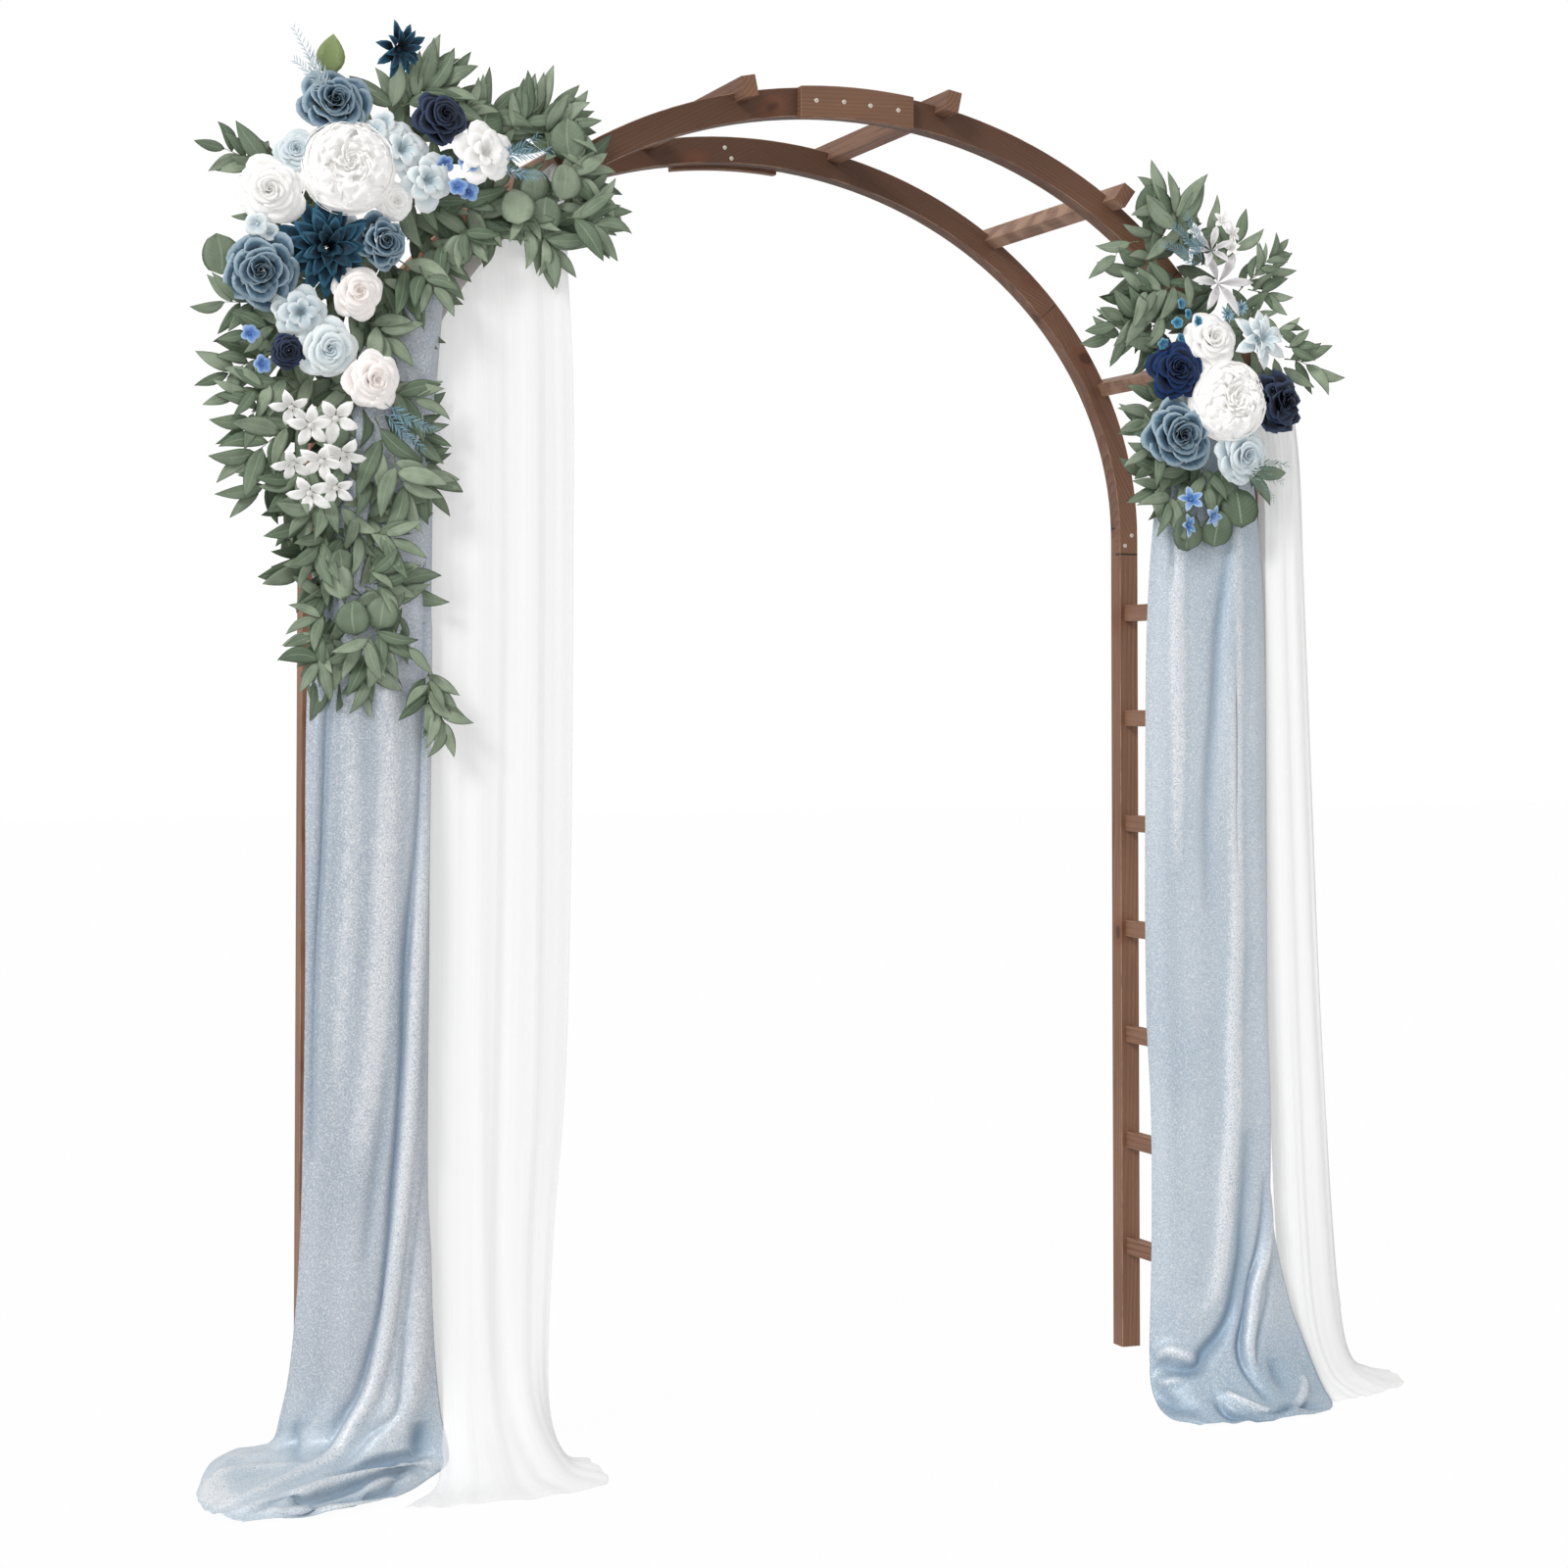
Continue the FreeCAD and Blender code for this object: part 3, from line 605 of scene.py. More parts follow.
RIGHT_SATIN = (
    ((610, -14, 1790), (560, -30, 1420), (552, -30, 1000), (553, -30, 700), (560, -32, 520),
     (560, -34, 340), (556, -36, 200), (550, -42, 95), (546, -64, 36), (552, -112, 10), (586, -152, 4)),
    ((640, -40, 1790), (610, -52, 1420), (604, -52, 1000), (606, -52, 700), (612, -54, 520),
     (612, -58, 340), (606, -62, 200), (598, -72, 105), (594, -98, 54), (602, -134, 24), (620, -164, 5)),
    ((680, -50, 1790), (680, -58, 1420), (682, -60, 1000), (690, -60, 700), (704, -62, 520),
     (691, -66, 340), (672, -70, 200), (656, -84, 105), (650, -112, 56), (656, -142, 26), (674, -170, 5)),
    ((720, -48, 1790), (745, -54, 1420), (752, -56, 1000), (760, -56, 700), (768, -58, 520),
     (764, -62, 340), (738, -72, 200), (724, -90, 105), (724, -120, 56), (734, -150, 26), (756, -172, 6)),
    ((750, -26, 1790), (785, -32, 1420), (790, -34, 1000), (792, -34, 700), (796, -36, 520),
     (793, -40, 340), (818, -50, 190), (848, -62, 98), (868, -80, 36), (872, -108, 10), (846, -142, 4)),
)

LEFT_SHEER = (
    ((-730, -6, 1850), (-732, -14, 1790), (-732, -16, 1640), (-732, -16, 1460), (-732, -16, 1200),
     (-732, -16, 900), (-732, -18, 600), (-728, -24, 300), (-722, -40, 120), (-716, -86, 14),
     (-800, -206, 4)),
    ((-668, -10, 1933), (-666, -24, 1860), (-662, -26, 1700), (-660, -26, 1460), (-660, -26, 1200),
     (-662, -26, 900), (-665, -28, 600), (-668, -34, 300), (-674, -60, 120), (-690, -140, 26),
     (-730, -220, 5)),
    ((-606, -12, 2010), (-603, -28, 1930), (-599, -32, 1750), (-597, -32, 1460), (-598, -32, 1200),
     (-600, -32, 900), (-605, -32, 600), (-612, -36, 300), (-614, -60, 120), (-612, -138, 26),
     (-610, -222, 5)),
    ((-548, -20, 2064), (-546, -30, 1970), (-540, -32, 1750), (-538, -30, 1460), (-539, -30, 1200),
     (-541, -30, 900), (-546, -30, 600), (-556, -32, 300), (-556, -54, 120), (-524, -112, 24),
     (-474, -178, 5)),
    ((-488, -52, 2112), (-498, -42, 1978), (-483, -28, 1719), (-482, -26, 1400), (-483, -26, 1150),
     (-485, -26, 931), (-493, -26, 617), (-514, -28, 350), (-522, -34, 121), (-494, -22, 24),
     (-446, -12, 5)),
)

RIGHT_SHEER = (
    ((770, -10, 1795), (785, -12, 1650), (789, -12, 1421), (795, -12, 1000), (800, -12, 732),
     (806, -14, 500), (814, -16, 300), (826, -22, 140), (838, -40, 50), (850, -62, 12), (862, -80, 4)),
    ((790, -24, 1795), (812, -30, 1650), (816, -30, 1421), (825, -30, 1000), (832, -30, 732),
     (840, -30, 500), (850, -30, 300), (862, -36, 140), (884, -50, 50), (912, -64, 14), (930, -76, 4)),
    ((815, -28, 1795), (838, -34, 1650), (842, -34, 1421), (856, -34, 1000), (866, -34, 732),
     (876, -34, 500), (888, -32, 300), (902, -34, 140), (930, -40, 50), (972, -46, 14), (1004, -50, 4)),
    ((838, -24, 1795), (858, -30, 1650), (866, -30, 1421), (882, -30, 1000), (892, -30, 732),
     (906, -28, 500), (920, -24, 300), (938, -20, 140), (972, -16, 50), (1030, -18, 14), (1082, -4, 5)),
    ((850, -10, 1795), (866, -14, 1650), (876, -14, 1421), (893, -14, 1000), (905, -14, 732),
     (918, -12, 500), (934, -6, 300), (955, 4, 140), (986, 26, 56), (1044, 56, 26), (1104, 78, 10)),
)

# Folds: height and width in millimetres, the strength of the highlight painted along each, and places across
# and down the cloth in hundredths
LEFT_SATIN_FOLDS = (
    (-8, 8, 0.0, ((20, 10), (17, 17), (13, 21), (7, 25), (7, 33))),
    (5, 9, 0.3, ((11, 17), (8, 21), (3, 25), (3, 33))),
    (5, 24, 0.5, ((34, 8), (32, 17), (32, 21), (28, 25), (24, 29), (22, 33))),
    (7, 26, 0.7, ((58, 8), (53, 18), (48, 22), (42, 27), (36, 31), (33, 35))),
    (-12, 9, 0.0, ((88, 14), (78, 20), (64, 24), (59, 28), (54, 31), (50, 35), (50, 41), (50, 45),
     (48, 49), (47, 55), (45, 63), (52, 76))),
    (10, 12, 1.0, ((96, 15), (88, 20), (77, 23), (68, 27), (62, 31), (57, 35), (55, 41), (55, 45),
     (55, 50), (54, 56), (53, 65), (59, 77), (59, 85), (59, 93), (57, 99))),
    (-5, 10, 0.0, ((48, 29), (41, 34), (39, 38), (38, 41))),
    (-7, 9, 0.0, ((80, 33), (73, 42), (71, 48), (74, 58), (65, 66), (68, 79))),
    (5, 14, 0.4, ((98, 38), (88, 45), (83, 51), (82, 58))),
    # Two nearly flat folds that only carry a painted highlight
    (1, 45, 0.6, ((84, 30), (82, 45), (78, 60), (76, 78))),
    (1, 26, 0.9, ((12, 94), (30, 96), (52, 97), (74, 97))),
    (-16, 20, 0.0, ((89, 60), (89, 64), (89, 68))),
    (14, 12, 0.8, ((100, 68), (93, 70), (87, 73), (82, 81), (78, 87), (77, 94), (73, 100))),
    (-15, 8, 0.0, ((93, 67), (85, 70), (77, 76), (74, 83))),
    (-13, 7, 0.0, ((95, 72), (89, 75), (86, 83), (84, 90), (87, 95))),
    (9, 10, 0.7, ((96, 74), (92, 78), (90, 82), (95, 88))),
    (-6, 9, 0.0, ((46, 83), (38, 87), (32, 90), (17, 95))),
    (5, 12, 0.5, ((35, 80), (26, 84), (15, 88))),
    (-7, 10, 0.0, ((17, 60), (24, 68), (49, 81))),
    (12, 15, 1.0, ((30, 99), (29, 93), (37, 88), (52, 83))),
    (-13, 8, 0.0, ((97, 96), (91, 90), (95, 83), (89, 73))),
    (-10, 7, 0.0, ((83, 97), (78, 93), (89, 92))),
    (10, 8, 0.8, ((88, 99), (90, 94), (98, 91), (100, 84))),
)

RIGHT_SATIN_FOLDS = (
    (-6, 7, 0.0, ((20, 4), (20, 8), (21, 10))),
    (6, 15, 1.0, ((22, 5), (23, 10), (24, 13), (25, 16), (24, 22))),
    (-8, 13, 0.0, ((62, 4), (58, 9), (51, 12), (48, 15), (45, 17), (43, 20), (43, 24))),
    (6, 13, 0.2, ((65, 5), (61, 10), (59, 12), (57, 16), (54, 19))),
    (-5, 5, 0.0, ((61, 11), (61, 16), (60, 22))),
    (8, 17, 1.0, ((68, 4), (64, 11), (60, 18), (59, 25), (52, 35), (49, 42), (48, 47), (48, 50), (48, 56),
     (45, 60), (37, 63))),
    (-15, 13, 0.0, ((61, 43), (61, 51), (63, 56), (61, 62), (54, 66), (42, 70), (36, 73), (26, 74),
     (16, 73), (3, 70))),
    (9, 12, 0.6, ((1, 71), (13, 69), (25, 70), (36, 72))),
    (7, 10, 0.5, ((4, 76), (13, 77), (24, 77))),
    (-13, 9, 0.0, ((77, 47), (75, 54), (72, 58), (70, 64), (68, 69), (70, 75), (73, 82), (73, 87))),
    (9, 10, 0.7, ((93, 49), (83, 55), (77, 59), (75, 65), (74, 69), (76, 76))),
    (-6, 6, 0.0, ((89, 53), (85, 61), (80, 66), (78, 70), (76, 75))),
    (-10, 16, 0.0, ((84, 72), (84, 76), (83, 82))),
    (-13, 8, 0.0, ((42, 86), (43, 95), (61, 99))),
    (12, 8, 0.9, ((50, 83), (58, 89), (70, 95))),
    (-12, 8, 0.0, ((64, 98), (82, 92), (93, 93))),
    (-10, 16, 0.0, ((3, 79), (10, 86), (22, 91))),
    (9, 9, 0.8, ((93, 77), (92, 81), (87, 88), (78, 97))),
)

LEFT_SHEER_FOLDS = (
    (3, 12, 0.0, ((34, 4), (34, 11), (33, 38), (36, 59), (46, 80), (48, 98))),
    (3, 12, 0.0, ((72, 6), (72, 15), (72, 38), (75, 59), (72, 69), (74, 90))),
    (-4, 14, 0.0, ((52, 6), (54, 30), (52, 60), (58, 80), (62, 98))),
)

# Each cloth: name, rails, columns and rows, pleats, folds, crumples, flat size and what it rests on
CLOTHS = (
    ("left_satin", LEFT_SATIN, (84, 460), ((3, (3, 5), 4, 0.1),), LEFT_SATIN_FOLDS, ((4, 45, 5, 0.82),),
     (0.24, 2.25), ["front_left_rib", "arch_batten_1"]),
    ("right_satin", RIGHT_SATIN, (86, 440), ((3, (3, 4), 9, 0.1),), RIGHT_SATIN_FOLDS, ((4, 40, 8, 0.84),),
     (0.25, 2.0), ["front_right_rib", "arch_batten_6"]),
    ("left_sheer", LEFT_SHEER, (96, 250), ((2, (3, 4), 2, 0.05), (0.6, (8, 11), 3, 0.05, 5)),
     LEFT_SHEER_FOLDS, (), (0.28, 2.3), ["front_left_rib", "arch_batten_2"]),
    ("right_sheer", RIGHT_SHEER, (72, 250), ((3, (3, 4), 6, 0.05), (1.1, (7, 10), 7, 0.05, 4)), (), (),
     (0.15, 2.0), ["front_right_rib"]),
)


def satin_material(name, dark, light, low):
    """Pale blue satin with silver sparkle everywhere: painted glints in its colour, painted highlights along
    the fold ridges and painted shade in the creases.
    """
    material, tree, shader = new_material(name)
    place = object_place(tree)
    sparkle = noise(tree, place, 360.0, 4.0, 0.8)
    threads = noise(tree, place, 1100.0, 2.0, 0.6)
    patches = noise(tree, place, (6, 6, 1.8), 3.0)
    ragged = maths(tree, "ADD", noise(tree, place, (90, 90, 45), 3.0, 0.7), 0.35)
    # A painted highlight along the fold ridges, ragged at its edges
    highlight_share = band(tree, maths(tree, "MULTIPLY", attribute(tree, "painted_highlight"), ragged), 0.16, 0.62)
    colour = mix_colour(tree, band(tree, patches, 0.35, 0.65), srgb(dark), srgb(light))
    colour = tint(tree, colour, low, part_of(tree, place, "Z"), 0.03, 0.2, 0.75, 0.0)
    # Near-white specks painted as glints of sparkle, more of them along the painted highlights; darker pits
    # lie between them
    more = maths(tree, "MULTIPLY_ADD", highlight_share, 0.5, 0.55)
    painted_glints = maths(tree, "MULTIPLY", band(tree, sparkle, 0.5, 0.62), more)
    some = maths(tree, "MULTIPLY_ADD", highlight_share, 0.35, 0.55)
    pits = maths(tree, "MULTIPLY", band(tree, sparkle, 0.46, 0.34), some)
    # Painted shade in the creases, a deeper blue
    crease = maths(tree, "MULTIPLY", attribute(tree, "crease"), 0.75)
    # Mixed into the colour: the painted highlight, the painted glints, the darker pits and the painted crease
    # shade
    for share, tone in ((maths(tree, "MULTIPLY", highlight_share, 0.7), "e2e5e9"), (painted_glints, "f3f3f4"),
                        (pits, "8195a8"), (crease, "6989a4")):
        colour = mix_colour(tree, share, colour, srgb(tone))
    fine = bump(tree, threads, 0.25 * MM, 0.5)
    set_inputs(tree, shader, Base_Color=colour, Metallic=0.1, Specular_IOR_Level=0.6, Sheen_Weight=0.1,
               Sheen_Roughness=0.4, Roughness=band(tree, sparkle, 0.3, 0.7, 0.44, 0.26),
               Normal=bump(tree, sparkle, 0.9 * MM, 0.6, fine))
    return material


def sheer_material(name, alpha):
    """White voile, sheer enough for the wood to show through."""
    material, tree, shader = new_material(name)
    weave = add_node(tree, "UVMap").outputs[0]
    threads = noise(tree, weave, (900, 2600, 1), 2.0, 0.6)
    lines = noise(tree, weave, (60, 1.2, 1), 3.0, 0.6)
    colour = mix_colour(tree, band(tree, lines, 0.3, 0.7), srgb("fbfbfb"), srgb("ffffff"))
    set_inputs(tree, shader, Base_Color=colour, Roughness=band(tree, threads, 0.3, 0.7, 0.6, 0.8),
               Specular_IOR_Level=0.25, Alpha=alpha, Normal=bump(tree, threads, 0.15 * MM, 0.35))
    return material


def make_drapes():
    materials = {
        "left_satin": satin_material("left_pale_blue_satin", "a1acb8", "b4bbc5", "c4d4df"),
        "right_satin": satin_material("right_pale_blue_satin", "abbac7", "bdc7d1", "92a9bb"),
        "left_sheer": sheer_material("left_white_sheer", 0.4),
        "right_sheer": sheer_material("right_white_sheer", 0.5),
    }
    for name, rails, counts, pleats, folds, crumples, cut, rests in CLOTHS:
        cloth = Drape(rails, *counts)
        for pleat in pleats:
            cloth.pleats(*pleat)
        for fold in folds:
            cloth.fold(*fold)
        for crumple in crumples:
            cloth.crumple(*crumple)
        cloth.settle()
        slot = "blue_satin" if "satin" in name else "white_sheer"
        piece = finish_piece(cloth.mesh(name + "_cloth"), materials[name], name + "_drape", CLOTH_THICK)
        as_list(rests)


# Leaves

def swag_place(side, across, up, out):
    """A place in a swag: centimetres right of and above its middle, millimetres in front of the arch."""
    middle = side * HALF_WIDTH * math.sin(SWAG_ANGLE)
    height = SPRING + RISE * math.cos(SWAG_ANGLE)
    return Vector((middle + across * CM, FRONT - out * MM, height + up * CM))


def grid_patch(bm, columns, rows, shape):
    """Adds a grid and moves each point to shape(u, v), with u from -1 to 1 and v from 0 to 1."""
    made = bmesh.ops.create_grid(bm, x_segments=columns, y_segments=rows, size=1.0, calc_uvs=True)
    for vertex in made["verts"]:
        vertex.co = shape(vertex.co.x, (vertex.co.y + 1) / 2)
    return made["verts"]


def flower_mesh(layered=True):
    bm = bmesh.new()
    bm.loops.layers.uv.new("UVMap")
    if layered:
        bm.verts.layers.float.new("layer")
    return bm


def add_leaf(bm, root, tip, facing, width, rng, round_leaf=False, rows=8):
    """A silk leaf from root to tip: folded along its midrib, slightly curved, with soft waves."""
    run = tip - root
    length = run.length
    along = run / length
    side = along.cross(facing).normalized()
    out = side.cross(along).normalized()
    sickle = rng.uniform(-0.12, 0.12)
    droop = rng.uniform(-0.05, 0.16)
    crease = rng.uniform(0.0, 0.18)
    wave = rng.uniform(0, 6.3)
    half = length * width / 2
    widest, fullness = (0.85, 0.55) if round_leaf else (0.8, 0.9)

    def shape(u, v):
        reach = half * max(0.0, math.sin(math.pi * v ** widest)) ** fullness
        bow = 4 * v * (1 - v)
        edge = abs(u) * reach
        centre = root + along * (v * length) + side * (sickle * length * bow) + out * (droop * length * bow)
        ripple = 0.02 * length * math.sin(7 * v + wave) * abs(u)
        return centre + side * (u * reach) + out * (edge * crease + ripple)

    grid_patch(bm, 4, rows, shape)


def add_stem(bm, points, thick):
    """A thin round stem through a few points, thinner at its end."""
    line = [Vector(point) for point in through([tuple(point) for point in points], np.linspace(0, 1, 9))]
    rings = []
    for number, point in enumerate(line):
        ahead = line[min(number + 1, len(line) - 1)] - line[max(number - 1, 0)]
        matrix = Matrix.Translation(point) @ ahead.to_track_quat("Z", "Y").to_matrix().to_4x4()
        radius = thick / 2 * (1 - 0.6 * number / (len(line) - 1))
        made = bmesh.ops.create_circle(bm, segments=6, radius=radius, matrix=matrix)
        rings.append(made["verts"])
    for first, second in zip(rings, rings[1:]):
        edges = [edge for ring in (first, second) for vertex in ring for edge in vertex.link_edges
                 if edge.other_vert(vertex) in ring]
        bmesh.ops.bridge_loops(bm, edges=list(dict.fromkeys(edges)))
    for ring in (rings[0], rings[-1]):
        bmesh.ops.contextual_create(bm, geom=ring)


def add_spray(leaves, stems, side, spray, depth, rng):
    """A twig from its base to the tip of its last leaf, with leaves set left and right."""
    base_x, base_z, tip_x, tip_z, leaf_length, pairs = spray
    base = swag_place(side, base_x, base_z, depth)
    tip = swag_place(side, tip_x, tip_z, depth + rng.uniform(-12, 22))
    run = tip - base
    length = run.length
    along = run / length
    across = Vector((along.z, 0, -along.x)).normalized()
    leaf = leaf_length * 0.97 * CM
    stem_end = tip - along * leaf * 0.85
    bend = across * rng.uniform(-0.06, 0.06) * length
    middle = (base + stem_end) / 2 + bend + Vector((0, rng.uniform(-0.01, 0.004), 0))
    add_stem(stems, (base, middle, stem_end), 2.4 * MM)
    facing = Vector((rng.uniform(-0.4, 0.4), -1, rng.uniform(-0.5, 0.3)))
    add_leaf(leaves, stem_end, tip, facing, SPRAY_LEAF_WIDTH * rng.uniform(0.85, 1.1), rng)
    line = through([tuple(base), tuple(middle), tuple(stem_end)], np.linspace(0, 1, pairs * 2 + 2))
    for number, point in enumerate(line[1:-1]):
        angle = math.radians(rng.uniform(28, 56)) * (1 if number % 2 else -1)
        direction = along * math.cos(angle) + across * math.sin(angle)
        direction.y += rng.uniform(-0.3, 0.12)
        direction.normalize()
        size = leaf * rng.uniform(0.78, 1.08)
        facing = Vector((rng.uniform(-0.35, 0.35), -1, rng.uniform(-0.4, 0.3)))
        root = Vector(point)
        width = SPRAY_LEAF_WIDTH * rng.uniform(0.85, 1.15)
        add_leaf(leaves, root, root + direction * size, facing, width, rng)


# Sprays: base and tip in centimetres from the swag's middle, length of a leaf, pairs of leaves
LEFT_SPRAYS = (
    (-38, 1, -53, 4, 6, 4), (-39, -6, -48, -8, 5, 2), (-38, -19, -54, -22, 7, 4),
    (-38, -24, -50, -27, 6, 3), (-38, -28, -53, -34, 7, 4), (-38, -32, -52, -37, 7, 3),
    (-38, -34, -50, -43, 7, 4), (-36, -38, -50, -49, 8, 4), (-36, -43, -47, -54, 8, 4),
    (-35, -45, -42, -53, 7, 3), (-32, -50, -39, -57, 7, 3), (-32, -56, -37, -65, 7, 3),
    (-32, -66, -37, -68, 6, 1), (-33, -69, -39, -72, 7, 1), (-33, -72, -37, -77, 7, 2),
    (-33, -75, -37, -81, 7, 1), (-31, -72, -33, -80, 7, 2), (-26, -72, -30, -79, 8, 2),
    (-26, -73, -25, -85, 8, 3), (-25, -71, -21, -79, 8, 2), (-24, -67, -16, -70, 8, 2),
    (-25, -64, -18, -66, 7, 2), (-25, -62, -21, -62, 6, 1), (-25, -56, -17, -60, 8, 2),
    (-26, -54, -19, -56, 8, 2), (-22, -71, -16, -78, 7, 0), (-16, -78, -17, -88, 7, 2),
    (-16, -77, -12, -91, 7, 4), (-16, -78, -20, -83, 7, 0), (-26, -23, -19, -30, 8, 2),
    (-23, -33, -17, -30, 6, 1), (-23, -33, -13, -38, 8, 3), (-20, -39, -12, -42, 7, 2),
    (-19, -43, -12, -48, 7, 3), (-18, -46, -12, -53, 8, 3), (-22, -44, -17, -56, 9, 3),
    (-26, -49, -17, -60, 8, 3), (-25, -38, -22, -52, 11, 1), (-22, 11, -25, 17, 8, 2),
    (-21, 11, -12, 19, 9, 4), (-18, 13, -9, 18, 9, 3), (-18, 11, -6, 16, 9, 3), (-8, 9, -1, 16, 8, 3),
    (-10, 11, -7, 13, 6, 1), (-2, 8, 4, 17, 8, 3), (0, 9, 9, 17, 8, 4), (2, 9, 12, 11, 8, 4),
    (3, 6, 11, 7, 7, 3), (5, 2, 15, 3, 8, 3), (6, 0, 17, 0, 8, 3), (6, -3, 18, -3, 8, 3),
    (6, -5, 17, -7, 8, 3), (2, -7, 9, -14, 8, 4), (-1, -4, 2, -9, 7, 2), (-6, -7, -4, -10, 7, 2),
    (-11, -8, -7, -13, 7, 2), (-14, -10, -10, -15, 7, 2), (-16, -9, -12, -19, 7, 2),
    (-18, -14, -13, -22, 7, 2), (-21, -13, -18, -23, 10, 1), (-24, -16, -21, -23, 8, 1),
    (-31, 9, -32, 15, 6, 1),
)

RIGHT_SPRAYS = (
    (2, -1, -1, 9, 9, 2), (0, 3, -6, 8, 8, 1), (5, -2, 7, 3, 8, 2), (7, -5, 10, 6, 9, 0),
    (13, -6, 16, 4, 8, 1), (16, -9, 24, -1, 5, 4), (17, -10, 26, -11, 6, 2), (15, -11, 26, -3, 6, 2),
    (3, -2, -8, 0, 8, 1), (-5, -3, -13, -4, 8, 0), (-9, -5, -15, -10, 8, 0), (0, -5, -10, -12, 8, 3),
    (3, -10, -12, -13, 8, 4), (1, -15, -16, -19, 8, 3), (-1, -17, -16, -21, 8, 3),
    (2, -19, -6, -26, 8, 2), (22, -17, 27, -17, 6, 1), (23, -20, 29, -20, 6, 1), (24, -22, 35, -25, 8, 2),
    (24, -24, 29, -27, 8, 0), (17, -15, 22, -14, 6, 1), (1, -32, -8, -36, 8, 2), (1, -30, -4, -32, 6, 1),
    (1, -37, -9, -42, 8, 2), (1, -40, -6, -44, 8, 1), (2, -44, -7, -48, 8, 2), (1, -47, -3, -54, 9, 1),
    (6, -41, 8, -51, 8, 1), (15, -42, 24, -42, 9, 0),
)

# Round leaves: middle and radius in centimetres
LEFT_ROUND_LEAVES = (
    (-49.9, -13.7, 3.2), (-30.0, -63.8, 2.6), (-28.1, -69.2, 2.8), (-23.3, -68.4, 2.7), (-6.7, 9.5, 3.1),
    (6.1, 7.8, 3.1), (0.4, -0.1, 2.6), (5.6, 0.7, 3.0), (-2.7, -3.7, 2.9), (2.5, -4.5, 2.6),
    (-11.3, -11.0, 2.4), (-32.1, -40.4, 2.8), (-30.9, -60.9, 2.3),
)

RIGHT_ROUND_LEAVES = (
    (10.1, -45.6, 3.9), (13.5, -48.5, 3.5), (9.7, -52.3, 3.1), (2.6, -52.9, 3.4), (-3.1, 3.5, 3.4),
    (-0.4, -28.0, 2.7),
)

# Where leaves fill the middle of a swag: from and to in centimetres, half width, how many
LEFT_FILL = (
    ((-22, 7), (6, 6), 5, 28), ((-22, -4), (6, -4), 5, 40), ((-38, 4), (-36, -20), 4, 16), ((-34, -22),
    (-30, -50), 7, 46), ((-29, -46), (-26, -76), 8, 70), ((-26, -10), (-22, -44), 5, 26), ((-36, 4),
    (-26, -26), 8, 44), ((-38, -26), (-28, -34), 6, 26), ((-30, -6), (-22, -16), 5, 22), ((-26, -36),
    (-24, -66), 5, 44), ((-20, -2), (4, -4), 4, 26), ((-22, -10), (-16, -22), 4, 12), ((-30, -54),
    (-24, -76), 6, 30),
)

RIGHT_FILL = (
    ((3, -2), (13, -16), 6, 40), ((-2, -12), (6, -26), 5, 22), ((2, -28), (5, -46), 5, 22), ((14, -14),
    (20, -26), 4, 14), ((6, -20), (12, -40), 7, 18),
)


def fill_leaves(leaves, side, strips, flow, rng):
    """Leaves that fill the middle of a swag, behind its sprays and flowers."""
    for start, end, half_width, count in strips:
        for _ in range(count):
            part = rng.random()
            across = start[0] + (end[0] - start[0]) * part + rng.uniform(-half_width, half_width)
            up = start[1] + (end[1] - start[1]) * part + rng.uniform(-half_width, half_width) * 0.6
            root = swag_place(side, across, up, rng.uniform(14, 62))
            angle = math.radians(rng.gauss(flow(across, up), 42))
            size = rng.uniform(6.0, 8.6) * CM
            direction = Vector((math.cos(angle), rng.uniform(-0.35, 0.1), math.sin(angle))).normalized()
            facing = Vector((rng.uniform(-0.5, 0.5), -1, rng.uniform(-0.6, 0.4)))
            add_leaf(leaves, root, root + direction * size, facing, rng.uniform(0.28, 0.4), rng)


def leaf_material():
    """Silk leaves: grey-green, darker at the edge, with painted shade deep in the swag, and a pale midrib and
    veins.
    """
    material, tree, shader = new_material("silk_leaves")
    dark, light = srgb("52654e"), srgb("a7b49c")
    uv = add_node(tree, "UVMap").outputs[0]
    place = object_place(tree)
    across = maths(tree, "ABSOLUTE", maths(tree, "SUBTRACT", part_of(tree, uv, "X"), 0.5))
    along = maths(tree, "MULTIPLY", part_of(tree, uv, "Y"), 9.0)
    slanted = maths(tree, "FRACT", maths(tree, "SUBTRACT", along, maths(tree, "MULTIPLY", across, 5.0)))
    veins = maths(tree, "ABSOLUTE", maths(tree, "SUBTRACT", slanted, 0.5))
    shade = noise(tree, place, 34.0, 3.0)
    colour = mix_colour(tree, each_island(tree), dark, light)
    colour = mix_colour(tree, 0.2, colour, srgb("7d8e77"))
    colour = tint(tree, colour, "52654e", shade, 0.4, 0.7, 0.0, 0.4)
    colour = tint(tree, colour, "3b4836", across, 0.4, 0.49, 0.0, 0.6)
    colour = tint(tree, colour, "a7b49c", veins, 0.0, 0.1, 0.2, 0.0)
    colour = tint(tree, colour, "a7b49c", across, 0.01, 0.04, 0.5, 0.0)
    # Painted shade: leaves further back in the swag, nearer the arch, are darker
    depth = part_of(tree, place, "Y")
    colour = tint(tree, colour, "33402e", depth, FRONT - 66 * MM, FRONT - 12 * MM, 0.0, 0.6)
    relief = bump(tree, veins, 0.5 * MM, 0.4)
    set_inputs(tree, shader, Base_Color=colour, Roughness=band(tree, shade, 0.3, 0.7, 0.55, 0.75),
               Specular_IOR_Level=0.35, Normal=bump(tree, shade, 0.6 * MM, 0.3, relief))
    return material


